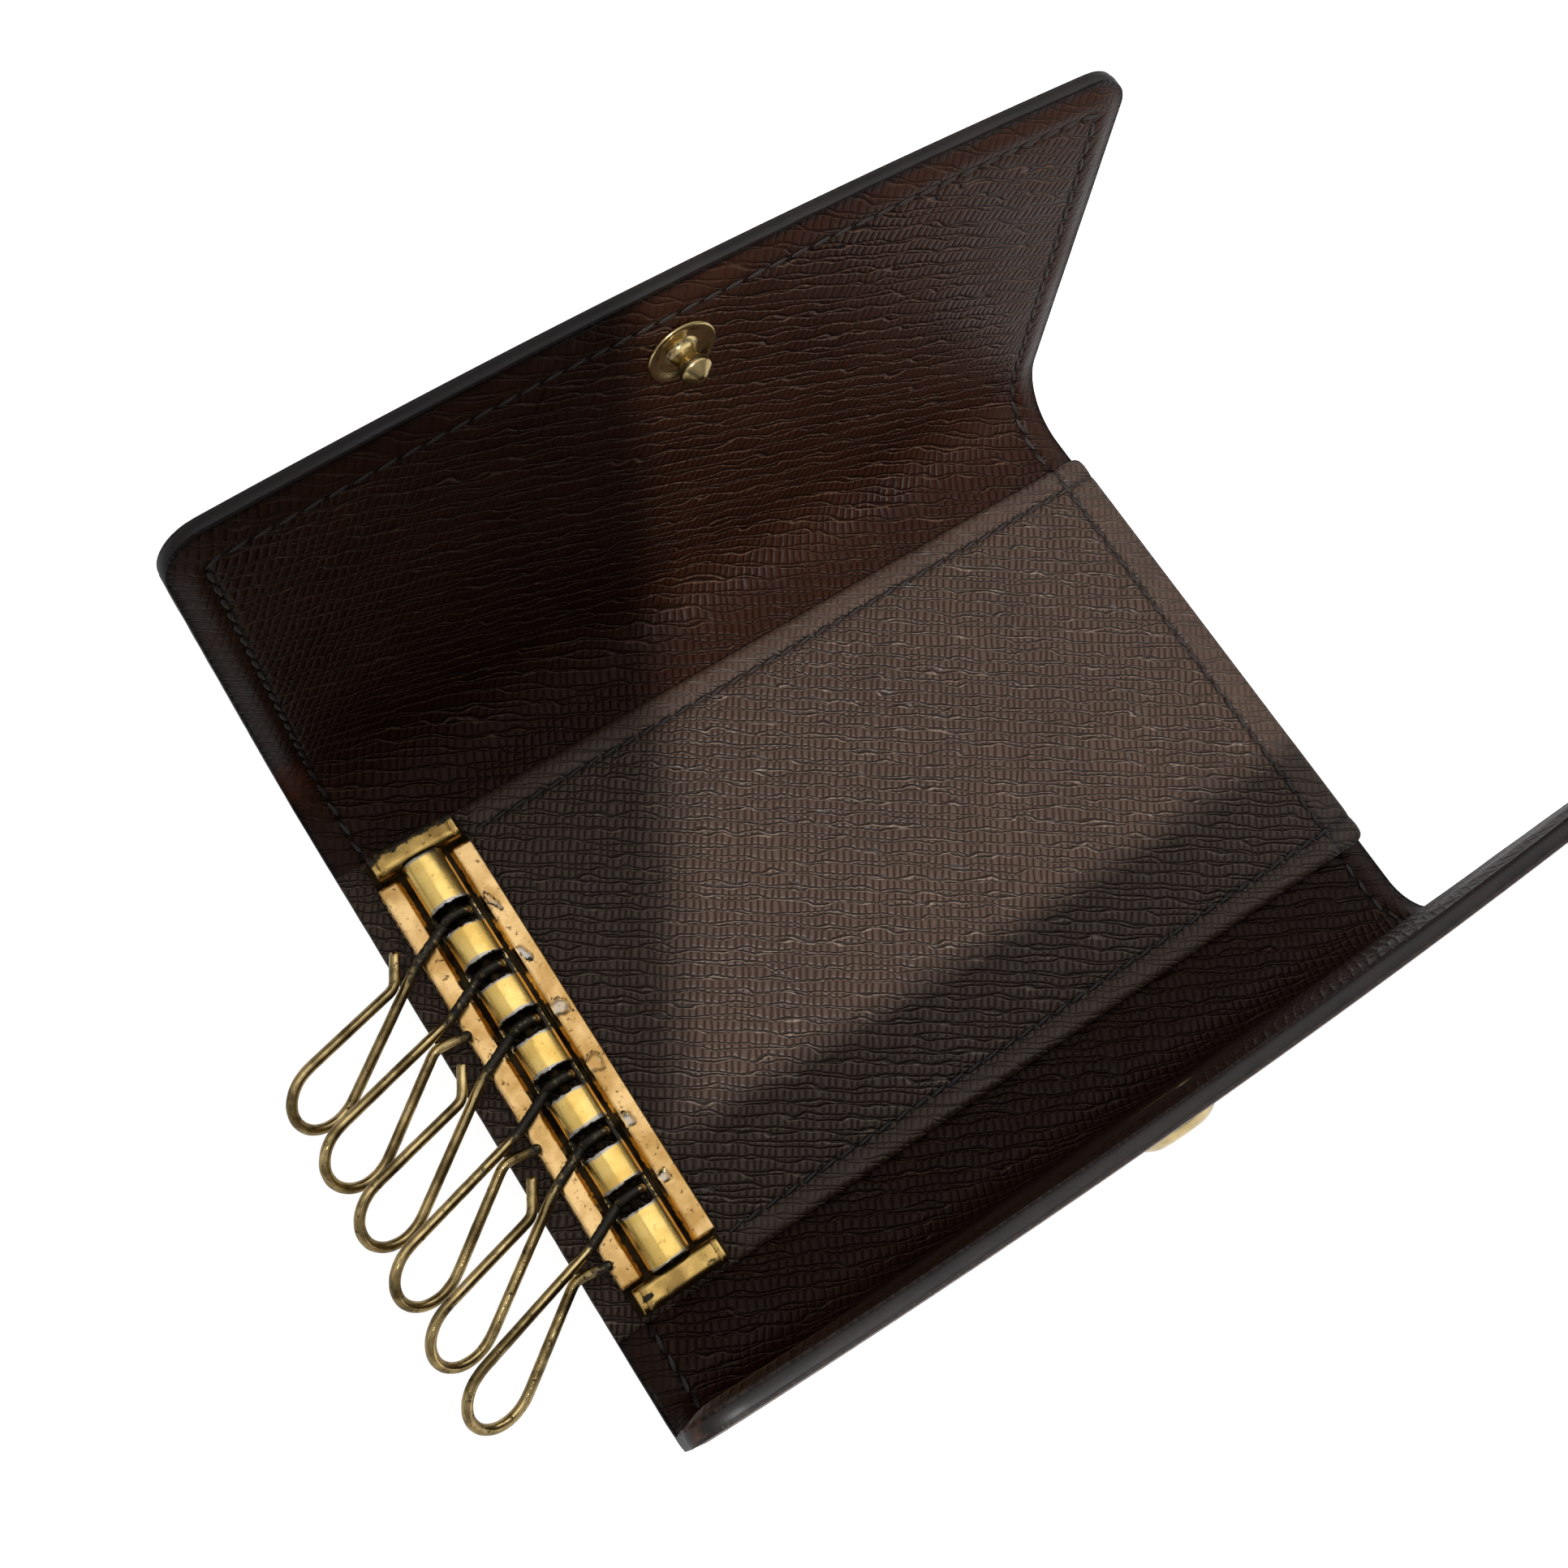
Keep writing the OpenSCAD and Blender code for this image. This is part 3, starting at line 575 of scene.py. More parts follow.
def buildSheet(side, name, low, top, relief, material, replaced):
    columns, rows = sheetColumns(), sheetRows(side)
    spot = side["half"] + arcOf(side) + side["snap"]
    if side is socketSide:
        columns, rows = recut(columns, 0), recut(rows, spot)
    bm = gridSheet(columns, rows)
    roundCorners(side, bm)
    if side is socketSide:
        cutHole(bm, spot)
    lower = doubleSheet(bm)
    for vert in bm.verts:
        vert.co.z = low if vert in lower else top + relief(side, vert.co.x, vert.co.y)
    faceOutwards(bm)
    markFlat(bm, side["sign"])
    markScuffsAndSeamShade(side, bm)
    foldUp(side, bm)
    return finishPiece(name, bm, material, replaced)


def perimeter(side, inset, pitch):
    # evenly spaced (point, direction) along the outline of a flap, moved in by inset
    span, half = spanOf(side) - inset, case["halfLength"] - inset
    c = max(side["corner"] - inset, 1.3)
    line = [Vector((-half, 0)), Vector((-half, span - c))]
    turns = [pi / 20 * k for k in range(1, 10)]
    line += [Vector((-half + c - c * cos(a), span - c + c * sin(a))) for a in turns]
    line += [Vector((-half + c, span))]
    line += [Vector((-p.x, p.y)) for p in reversed(line)]
    lengths = runLengths(line)
    count = round(lengths[-1] / pitch)
    out, k = [], 0
    for n in range(count + 1):
        at = lengths[-1] * n / count
        while k < len(line) - 2 and lengths[k + 1] < at:
            k += 1
        step = (line[k + 1] - line[k])
        out.append((line[k] + step * ((at - lengths[k]) / step.length), step.normalized()))
    return out


def buildEdge(side, name):
    # rounded bead of paint round the three free sides
    track = perimeter(side, case["edgeWidth"], 0.9)
    wide, tall = case["edgeWidth"] + 0.1, (case["thickness"] - case["skive"] - case["canvasSkive"]) / 2 + 0.05
    middle = (case["thickness"] + case["skive"] - case["canvasSkive"]) / 2
    ring = 20

    def place(i, j):
        point, way = track[i]
        turn = 2 * pi * j / ring
        out, rise = cos(turn), sin(turn)
        out = (abs(out) ** 0.75) * (1 if out > 0 else -0.35) * wide
        rise = (abs(rise) ** 0.62) * (1 if rise > 0 else -1) * tall
        out += 0.03 * noiseAt(point.x * 0.5, point.y * 0.5, turn)
        return Vector((point.x - way.y * out, point.y + way.x * out, rise - middle))

    bm = sweepRing(len(track), ring, place)
    markScuffsAndSeamShade(side, bm)
    foldUp(side, bm)
    return finishPiece(name, bm, paint, sharp=60)


stitch = {"size": (2.0, 0.56, 0.36), "slant": 9}


def addStitch(bm, point, way, height, slant):
    turn = atan2(way.y, way.x) + radians(slant)
    shape = Matrix.Translation((point.x, point.y, height)) @ Matrix.Rotation(turn, 4, "Z")
    shape = shape @ Matrix.Diagonal([d / 2 for d in stitch["size"]] + [1]) @ Matrix.Rotation(pi / 2, 4, "Y")
    bmesh.ops.create_uvsphere(bm, u_segments=10, v_segments=6, radius=1, matrix=shape)


def buildStitches(side, name, seenSide):
    bm = bmesh.new()
    track = perimeter(side, case["stitchInset"], case["stitchPitch"])
    for point, way in track:
        if seenSide:
            underRack = point.x < rack["footX"] and abs(point.y) < rack["footY"]
            if underRack or -0.2 <= point.y - patch["half"] < 1.0:
                continue
            height = liningRelief(side, point.x, point.y) + 0.06
            if point.y < patch["half"]:
                height = patchRelief(point.x, point.y) + 0.86
        else:
            height = -case["thickness"] + 0.14
        addStitch(bm, point, way, height, stitch["slant"] if seenSide else -stitch["slant"])
    markFlat(bm)
    foldUp(side, bm)
    return finishPiece(name, bm, thread, sharp=80)


patch = {
    "half": 28.3, "top": 3.1, "over": 0.3, "corner": 1.5, "sunk": 0.25,
    "flatHalf": 28.0,       # flat this far out under the rack
    "sideSeam": 3.0, "endSeam": 3.8, "groove": 0.17, "lift": 0.42,
    "seamStart": -34.2, "seamLength": 80.2,
}


def patchInsets(x, y):
    # how far a point lies inside the long sides and the free end
    return patch["half"] - abs(y), case["halfLength"] + patch["over"] - x


def patchRelief(x, y):
    side, free = patchInsets(x, y)
    if x < rack["footX"] and abs(y) < patch["flatHalf"]:
        return 0.0
    seen = smoothStep(-36, -33, x)
    groove = patch["groove"] * bell(side, patch["sideSeam"], 0.4) * seen
    groove = max(groove, patch["groove"] * bell(free, patch["endSeam"], 0.4))
    puff = 0.09 * bell(side, 1.5, 0.9) * seen
    lift = patch["lift"] * fall(0.6, 2.8, side) * smoothStep(-34, -26, x) * smoothStep(0.5, 5.0, free)
    return puff - groove + (lift if y < 0 else 0.0)


def buildPatch():
    near = [0, 0.12, 0.3, 0.6, 1.0, 1.6, 2.1, 2.5, 2.75, 3.0, 3.25, 3.5, 3.9, 4.6, 5.6, 7.2]
    half, end, corner = patch["half"], case["halfLength"] + patch["over"], patch["corner"]
    columns = [-50, -49.6, -48, -46, -44, -40, -37, -36, -35, -34, -33] + [-31.5 + 2.5 * k for k in range(30)]
    columns += [end - d for d in (7.2, 6.0, 5.2, 4.6, 4.3, 4.05, 3.8, 3.55, 3.3, 2.9, 2.3, 1.6, 1.0, 0.6, 0.3, 0.12, 0)]
    rows = [d - half for d in near] + [-20 + 2.5 * k for k in range(17)] + [half - d for d in reversed(near)]
    bm = gridSheet(columns, rows)
    for vert in bm.verts:
        deep = half - abs(vert.co.y)
        if deep < corner and vert.co.x > 0:
            vert.co.x = min(vert.co.x, end - corner + sqrt(max(corner ** 2 - (corner - deep) ** 2, 0)))
    bmesh.ops.remove_doubles(bm, verts=bm.verts, dist=1e-4)
    lower = doubleSheet(bm)
    markFlat(bm)
    for vert in bm.verts:
        if vert in lower:
            vert.co.z = case["thickness"] - patch["sunk"]
            continue
        drop = 0.3 * fall(-0.1, 0.5, min(patchInsets(vert.co.x, vert.co.y)))
        vert.co.z = patch["top"] + patchRelief(vert.co.x, vert.co.y) - drop
    seamShade, band = addLayers(bm, "seamShade", "band")      # after the heights, since a new layer empties the lower set
    for vert in bm.verts:
        side, free = patchInsets(vert.co.x, vert.co.y)
        if vert.co.x > -35:
            # painted shade along the patch's stitch grooves
            sideLine = bell(side, patch["sideSeam"], 0.3)
            vert[seamShade] = 0.85 * max(sideLine, bell(free, patch["endSeam"], 0.3))
            vert[band] = fall(2.2, 3.0, min(side, free - 0.8))
    faceOutwards(bm)
    piece = finishPiece("centrePatch", bm, patchLeather, ["centre_patch"], sharp=75)
    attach(piece, "case_back")

    bm = bmesh.new()
    count = round(80 / case["stitchPitch"])
    for y in (patch["sideSeam"] - half, half - patch["sideSeam"]):
        for k in range(count + 1):
            x = patch["seamStart"] + patch["seamLength"] * k / count
            addStitch(bm, Vector((x, y)), Vector((1, 0)), patch["top"] - 0.1, stitch["slant"])
    markFlat(bm)
    faceOutwards(bm)
    piece = finishPiece("patchStitches", bm, thread, sharp=80)
    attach(piece, "case_back")


def blendFold(piece, side):
    angle, radius = radians(side["angle"]), side["radius"]
    low, centre = case["thickness"], case["thickness"] + radius
    end = (0, side["sign"] * (side["half"] + radius * sin(angle)) * mm, (centre - radius * cos(angle)) * mm)
    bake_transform(piece)


for side, word, body in ((studSide, "stud", "stud_flap"), (socketSide, "socket", "socket_flap")):
    pieces = [
        buildSheet(side, word + "Lining", -case["lining"], 0.0, liningRelief, liningLeather,
                   ["back_lining", word + "_fold_lining", word + "_flap_lining"]),
        buildSheet(side, word + "Canvas", -case["lining"], -case["thickness"], canvasRelief, canvas,
                   ["back_canvas", "back_board", word + "_fold_canvas", word + "_flap_canvas", word + "_flap_board"]),
        buildEdge(side, word + "EdgePaint"),
        buildStitches(side, word + "LiningStitches", True),
        buildStitches(side, word + "CanvasStitches", False),
    ]
    for piece in pieces:
        blendFold(piece, side)
buildPatch()
print("leather, patch and stitches built")


# The key rack

rails = {"offset": 4.45, "width": 2.4, "half": 24.35, "height": 0.8, "side": 0.34, "flat": 0.78,
         "stations": 240, "end": 0.25}
# For each hook from 1: shift across, half width and half length of its dent in the inner rail
dents = [(0.0, 0.32, 1.0), (0.0, 0.36, 0.95), (-0.5, 0.75, 0.9), (-1.0, 0.8, 0.85), (1.5, 0.55, 0.6), (1.5, 0.55, 0.55)]


def slotCentre(number):
    return (3.5 - number) * rack["pitch"]


slots = [slotCentre(number) for number in range(1, 7)]


def dentDistances(x, y):
    # 1 on the ragged rim of each dent that a hook has knocked in the inner rail
    found = []
    for number, (shift, rx, ry) in enumerate(dents):
        u, v = x + 0.35 + shift * 0.1, y - slots[number] - 0.1
        ragged = 1 + 0.45 * noiseAt(u * 1.6, v * 1.6, number * 3.1)
        found.append(hypot((u + 0.25 * v * (number < 2)) / rx, v / ry) * ragged * 0.82)
    return found


def buildRail(word, way):
    # a bar with a flat crown and two sloping flanks; hooks have worn the inner one beside each slot
    half, wide = rails["half"], rails["width"] / 2
    flank = wide * rails["flat"]
    side, height = rails["side"], rails["height"]
    shape = [(-wide, 0), (-wide, side), (-wide + 0.1, side + 0.12), (-flank - 0.1, height - 0.07),
             (-flank + 0.08, height), (-flank * 0.4, height + 0.01), (0, height + 0.015)]
    shape += [(-x, z) for x, z in reversed(shape[:-1])]
    fine = []
    for a, b in zip(shape, shape[1:]):
        parts = max(1, round(dist(a, b) / 0.16))
        fine += [(a[0] + (b[0] - a[0]) * k / parts, a[1] + (b[1] - a[1]) * k / parts) for k in range(parts)]
    fine.append(shape[-1])
    fine += [(wide - 2 * wide * k / 6, 0) for k in range(1, 6)]
    taper, count = rails["end"], rails["stations"]
    stations = [-half, -half + 0.04, -half + 0.12, -half + taper]
    stations += [-half + taper + (2 * half - 2 * taper) * k / count for k in range(1, count)]
    stations += [-y for y in reversed(stations[:4])]

    def place(i, j):
        y = stations[i]
        x, z = fine[j]
        close = (1 - min((half - abs(y)) / taper, 1)) ** 2
        if z > 0.05:
            z = max(z - 0.14 * close, 0.04)
            z -= 0.02 * max(noiseAt(x * 1.1, y * 0.55, 4.0 + way), 0)
            for away in dentDistances(x, y) if way > 0 else []:
                z -= 0.16 * fall(0.55, 1.1, away)
        reach = 0.3 * fall(0.45, 0.8, z) * smoothStep(0.8, 1.2, -x * way)
        return Vector((rack["x"] + way * (rails["offset"] - reach) + x * (1 - 0.09 * close), y, rack["base"] + z))

    bm = sweepRing(len(stations), len(fine), place)
    wear, grimeAndShade = addLayers(bm, "wear", "grimeAndShade")
    for vert in bm.verts:
        x = vert.co.x - rack["x"] - way * rails["offset"]
        for away in dentDistances(x, vert.co.y) if way > 0 else []:
            vert[wear] = max(vert[wear], 0.56 * fall(0.75, 1.15, away))
            vert[grimeAndShade] = max(vert[grimeAndShade], 0.62 * bell(away, 1.05, 0.14))
        # painted shade: darker towards the foot, where the rail meets the base plate
        low = fall(0.3, 0.66, vert.co.z - rack["base"])
        vert[grimeAndShade] = max(vert[grimeAndShade], 0.6 * low)
    piece = finishPiece(word + "Rail", bm, roseBrass, [word + "_rail"], sharp=22)
    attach(piece, "case_back")


buildRail("outer", -1)
buildRail("inner", 1)


barrel = {"radius": 2.38, "wall": 0.4, "half": 24.6, "sill": 0.4, "round": 0.16}


def archLine(radius, foot, steps):
    line = [(-radius, foot), (-radius, (foot + rack["z"]) / 2), (-radius, rack["z"])]
    turns = [pi * k / steps for k in range(1, steps)]
    line += [(-radius * cos(a), rack["z"] + radius * sin(a)) for a in turns]
    return line + [(radius, rack["z"]), (radius, (foot + rack["z"]) / 2), (radius, foot)]


def buildBarrel():
    # six worn gaps split the rolled sheet into seven arches on two low sills
    outer = archLine(barrel["radius"], rack["base"], 40)
    inner = archLine(barrel["radius"] - barrel["wall"], rack["base"], 40)
    ring = outer + inner[::-1]
    edges = sorted([y + way * rack["slot"] / 2 for y in slots for way in (-1, 1)] + [-barrel["half"], barrel["half"]])
    whole = bmesh.new()
    for low, high in zip(edges[::2], edges[1::2]):
        soft = barrel["round"]
        stations = [low, low + soft * 0.15, low + soft * 0.5, low + soft]
        stations += [low + soft + (high - low - 2 * soft) * k / 14 for k in range(1, 14)]
        stations += [high - soft, high - soft * 0.5, high - soft * 0.15, high]

        def place(i, j):
            y = stations[i]
            x, z = ring[j]
            end = min(y - low, high - y)
            inset = soft - sqrt(max(soft ** 2 - (soft - end) ** 2, 0)) if end < soft else 0
            way = Vector((x, 0, max(z - rack["z"], 0))).normalized()
            sign = -1 if j < len(outer) else 1
            ragged = 0
            if abs(y) < barrel["half"] - 0.5 and end < soft:
                side = -1 if y - low < high - y else 1
                ragged = side * (0.2 * noiseAt(x * 1.7, z * 1.7, low * 3 + side)
                                 + 0.14 * noiseAt(x * 5.1, z * 5.1, low + side))
            pull = sign * inset * 0.5
            if z <= rack["base"] + 1e-6:
                return Vector((rack["x"] + x + way.x * pull, y, z))
            return Vector((rack["x"] + x + way.x * pull, y + ragged, z + way.z * pull))

        joinPart(whole, sweepRing(len(stations), len(ring), place))
    for y in slots:
        for way in (-1, 1):
            middle = (rack["x"] + way * (barrel["radius"] - barrel["wall"] / 2), y, rack["base"] + barrel["sill"] / 2)
            addBox(whole, (barrel["wall"], rack["slot"] + 0.1, barrel["sill"]), middle)
    faceOutwards(whole)
    wear, grimeAndShade = addLayers(whole, "wear", "grimeAndShade")
    for vert in whole.verts:
        gap = min(abs(vert.co.y - y) for y in slots) - rack["slot"] / 2
        near = min(gap, barrel["half"] - abs(vert.co.y))
        top = smoothStep(-1.8, 1.5, vert.co.z - rack["z"])
        vert[wear] = (0.35 + 0.4 * top) * fall(0.12, 0.75, near)
        # painted shade: near-black inside the tube and on the slot walls, and darker towards the foot
        out = hypot(vert.co.x - rack["x"], max(vert.co.z - rack["z"], 0))
        inside = out < barrel["radius"] - barrel["wall"] * 0.6
        foot = 0.35 * fall(0.0, 0.9, vert.co.z - rack["base"])
        vert[grimeAndShade] = 0.85 if inside else 0.66 * fall(-0.1, 0.16, gap) + foot
    piece = finishPiece("barrelCover", whole, brightBrass, ["barrel_cover"], sharp=40)
    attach(piece, "case_back")


buildBarrel()


cap = {"width": 9.8, "depth": 2.85, "height": 2.8, "start": 24.8, "round": 0.7, "fold": 4.15}


def buildEndCap(word, end):
    # folded sheet cap with a rolled crown, and a small turned-up tab at each end
    bm = bmesh.new()
    middle = end * (cap["start"] + cap["depth"] / 2)
    addBox(bm, (cap["width"], cap["depth"], cap["height"]), (rack["x"], middle, rack["base"] + cap["height"] / 2))
    top = [e for e in bm.edges if all(v.co.z > rack["base"] + 1 for v in e.verts)
           and abs(e.verts[0].co.x - e.verts[1].co.x) > 1]
    bmesh.ops.bevel(bm, geom=top, offset=cap["round"], segments=6, profile=0.5, affect="EDGES", material=-1)
    sharp = [e for e in bm.edges if len(e.link_faces) == 2 and e.calc_face_angle() > 0.9
             and e.verts[0].co.z > rack["base"] + 0.1]
    bmesh.ops.bevel(bm, geom=sharp, offset=0.13, segments=3, profile=0.5, affect="EDGES", material=-1)
    across = [-4.7, -4.4, -4.2, -4.0] + [-3.5 + 0.5 * k for k in range(15)] + [4.0, 4.2, 4.4, 4.7]
    cuts = [((rack["x"] + cut, 0, 0), (1, 0, 0)) for cut in across]
    cuts += [((0, middle + cut, 0), (0, 1, 0)) for cut in (-1.1, -0.8, -0.5, -0.2, 0.1, 0.4, 0.7, 1.0)]
    for place, facing in cuts:
        bmesh.ops.bisect_plane(bm, geom=bm.verts[:] + bm.edges[:] + bm.faces[:], plane_co=place, plane_no=facing)
    crown = rack["base"] + cap["height"]
    wear, grimeAndShade = addLayers(bm, "wear", "grimeAndShade")
    for vert in bm.verts:
        x, y = vert.co.x - rack["x"], (vert.co.y - middle) * end
        if vert.co.z > crown - 0.9:
            for way in (-1, 1):
                fold = bell(x, way * cap["fold"], 0.16)
                vert.co.z -= 0.22 * fold * smoothStep(crown - 0.9, crown - 0.2, vert.co.z)
            vert.co.z -= 0.05 * max(noiseAt(x * 0.6, y * 0.9, 7.0 * end), 0)
        rim = smoothStep(0.0, 0.75, y + 0.35 * noiseAt(x * 1.3, y, 5.0))
        if end > 0:
            spots = [0.85 * rim * (0.75 + 0.35 * noiseAt(x * 0.8, 0, 2.0)),
                     0.85 * fall(0.2, 1.0, hypot((x + 4.6) / 1.4, (y - 0.6) / 1.0))]
        else:
            spots = [0.95 * fall(0.35, 1.0, hypot((x + 3.9) / 0.9, (y - 0.1) / 0.45)),
                     0.5 * fall(0.3, 1.1, hypot((x - 3.6) / 1.6, (y - 0.5) / 0.6))]
        # painted shade at the foot and along the two fold creases; the spots above are black residue
        foot = 0.55 * fall(0.0, 0.8, vert.co.z - rack["base"])
        vert[grimeAndShade] = max(*spots, foot, 0.5 * bell(abs(x), cap["fold"], 0.12))
        vert[wear] = 0.3 * smoothStep(crown - 0.25, crown - 0.02, vert.co.z) * (1 if abs(x) > 4.3 else 0.3)
    faceOutwards(bm)
    piece = finishPiece(word + "EndCap", bm, agedBrass, [word + "_end_cap"], sharp=40)
    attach(piece, "case_back")


buildEndCap("upper", 1)
buildEndCap("lower", -1)
hiddenFinishes = {"rack_base": gapShadeBrass, "pivot_rod": gapShadeBrass, "rack_rivets": agedBrass, "socket_spring": steel}
for name, material in hiddenFinishes.items():
    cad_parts[name].data.materials.clear()
    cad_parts[name].data.materials.append(material)
print("rack built")


# The six wire hooks

hook = {
    "wire": 0.575, "eye": 1.275, "shift": 0.2, "neck": 5.3, "reach": 21.1, "radius": 3.9,
    "gateReach": 8.6, "gateGap": 0.25, "tipReach": 5.8, "tipSide": 2.4, "tipLift": 0.15,
    "lean": 25, "roll": 50, "firstRoll": 55,
    "softenings": 7,        # passes that round the bends of the wire
}


def hookPath(number):
    side = -1 if number % 2 == 0 else 1
    roll = radians(hook["firstRoll"] if number == 1 else hook["roll"])
    reach, neck, radius, gateReach = hook["reach"], hook["neck"], hook["radius"], hook["gateReach"]
    stem = asin(radius / (reach - neck))
    gateSide = (2 * hook["wire"] + hook["gateGap"]) / cos(stem) - (gateReach - neck) * tan(stem)
    span = hypot(reach - gateReach, gateSide)
    leg = asin(radius / span) - atan2(gateSide, reach - gateReach)
    rolled = Matrix.Rotation(-roll, 3, "X")
    loop = [Vector((reach + radius * cos(a), radius * sin(a) * side, 0))
            for a in [pi / 2 + stem - (pi + stem + leg) * k / 40 for k in range(41)]]
    gate = rolled @ Vector((gateReach, -side * gateSide, 0))
    corners = [Vector((0, 0, 0)), Vector((neck, 0, 0))] + [rolled @ p for p in loop]
    corners += [gate, Vector((hook["tipReach"], -side * hook["tipSide"], hook["tipLift"]))]
    fine = []
    for a, b in zip(corners, corners[1:]):
        parts = max(1, round((b - a).length / 0.3))
        fine += [a.lerp(b, k / parts) for k in range(parts)]
    fine.append(corners[-1])
    for _ in range(hook["softenings"]):
        fine = [fine[0]] + [(a + b * 2 + c) / 4 for a, b, c in zip(fine, fine[1:], fine[2:])] + [fine[-1]]
    turn = Matrix.Rotation(radians(180 + hook["lean"]), 3, "Z")
    origin = Vector((rack["x"] - hook["eye"], slotCentre(number) + hook["shift"], rack["z"]))
    return [origin + turn @ p for p in fine]


def tube(path, radiusAt, ring=14, closed=False):
    # wire along a path, its ring carried on without twist
    ways = []
    for k in range(len(path)):
        after = path[(k + 1) % len(path)] if closed else path[min(k + 1, len(path) - 1)]
        before = path[k - 1] if closed or k else path[0]
        ways.append((after - before).normalized())
    side = ways[0].orthogonal().normalized()
    frames = []
    for way in ways:
        side = (side - way * side.dot(way)).normalized()
        frames.append((side.copy(), way.cross(side)))

    def place(i, j):
        turn = 2 * pi * j / ring
        a, b = frames[i]
        return path[i] + (a * cos(turn) + b * sin(turn)) * radiusAt(i, turn)

    return sweepRing(len(path), ring, place, closed, girth=2 * pi * hook["wire"], length=runLengths(path)[-1])


def buildHook(number):
    path = hookPath(number)
    last = len(path) - 1
    lengths = runLengths(path)
    # round the free end: extra stations near the tip
    tipWay = (path[-1] - path[-2]).normalized()
    tail = [(0.0, 1.0), (0.14, 0.97), (0.28, 0.87), (0.4, 0.7), (0.49, 0.45), (0.53, 0.15)]
    bodyPath = path[:-1] + [path[-1] + tipWay * d for d, _ in tail]
    wide = [1.0] * last + [w for _, w in tail]

    def radiusAt(i, turn):
        near = min(i, last)
        rough = 0.035 * noiseAt(lengths[near] * 1.1, cos(turn) * 1.3, sin(turn) * 1.3 + number)
        if lengths[near] < 5.0:
            fade = fall(2.8, 5.0, lengths[near])
            ripple = sin(lengths[near] * 7.5 + turn) * 0.6
            rough += 0.09 * fade * (ripple + noiseAt(lengths[near] * 2.2, turn, number))
        return hook["wire"] * wide[i] * (1 + rough)

    bm = tube(bodyPath, radiusAt)
    centre = Vector((rack["x"], slotCentre(number) + hook["shift"], rack["z"]))
    angles = [2 * pi * k / 40 for k in range(40)]
    eyePath = [centre + Vector((cos(a), 0, sin(a))) * hook["eye"] for a in angles]
    joinPart(bm, tube(eyePath, lambda i, turn: hook["wire"] * (1 + 0.03 * noiseAt(i * 0.6, turn, number)), closed=True))
    grimeAndShade, wear = addLayers(bm, "grimeAndShade", "wear")
    for vert in bm.verts:
        out = hypot(vert.co.x - rack["x"], vert.co.z - rack["z"])
        bead = smoothStep(0.9, 1.3, vert.co.x - rack["x"]) * smoothStep(-0.2, 0.4, vert.co.z - rack["z"])
        stretch = max(noise.noise(vert.co * 0.32 + Vector((0, 0, number * 2.3))), 0)
        vert[grimeAndShade] = (0.52 * fall(4.6, 8.5, out) + 0.12 + 0.4 * stretch) * (1 - bead)
        vert[wear] = 0.25 if out > 12 else 0.1
    piece = finishPiece("keyHook%d" % number, bm, hookBrass, ["key_hook_%d" % number], sharp=70)
    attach(piece, "hook_%d" % number)


for number in range(1, 7):
    buildHook(number)
print("hooks built")


# The snap: stud and domed cap on one flap, socket and eyelet on the other

def flapSpot(side, up):
    angle = radians(side["angle"])
    inward = Vector((0, -side["sign"] * sin(angle), cos(angle)))
    return foldPoint(side, 0, side["half"] + arcOf(side) + side["snap"], up), inward


# Profiles: distance from the axis, and height over the face that the piece sits on
studShape = [
    (0, -0.02), (3.5, -0.02), (3.64, 0.1), (3.66, 0.3), (3.55, 0.46), (3.3, 0.5), (3.0, 0.42), (2.5, 0.26),
    (1.9, 0.2), (1.6, 0.32), (1.4, 0.55), (1.26, 0.9), (1.2, 1.3), (1.22, 1.75), (1.34, 1.95), (1.58, 2.15),
    (1.62, 2.35), (1.62, 2.85), (1.54, 3.0), (1.0, 3.4), (0.5, 3.78), (0.3, 3.88), (0, 3.9),
]
socketShape = [
    (2.05, 0.0), (4.1, 0.0), (4.2, 0.1), (4.18, 0.26), (4.05, 0.42), (3.85, 0.62), (3.6, 0.82), (3.25, 1.04),
    (2.85, 1.22), (2.45, 1.34), (2.1, 1.38), (1.85, 1.34), (1.8, 1.26), (2.2, 1.16), (2.6, 1.0), (2.7, 0.86),
    (2.7, 0.6), (2.05, 0.52),
]
eyeletShape = [
    (2.05, -2.3), (2.55, -2.3), (2.55, -0.1), (3.7, -0.1), (3.78, -0.04), (3.7, 0.03), (3.5, 0.06), (3.1, 0.08),
    (2.5, 0.06), (2.2, 0.0), (2.05, -0.1),
]
dome = {"radius": (25 + 1.44) / 2.4, "rise": 1.2}


def turnedShade(bm, spot, axis, amount):
    # amount(out, rise): painted shade by the distance from the axis and the height along it
    grimeAndShade, = addLayers(bm, "grimeAndShade")
    for vert in bm.verts:
        rise = (vert.co - spot).dot(axis)
        vert[grimeAndShade] = amount(((vert.co - spot) - axis * rise).length, rise)


def studShade(out, rise):
    # painted shade round the stud's neck and where it meets the leather
    foot = 0.5 * bell(out, 1.5, 0.35) if rise < 0.5 else 0.0
    return max(foot, 0.3 * fall(-0.02, 0.15, rise))


def socketShade(out, rise):
    # painted shade inside the socket's hole and at its foot
    return 0.62 if out < 2.75 and rise < 1.2 else 0.28 * fall(0.3, 0.7, rise)


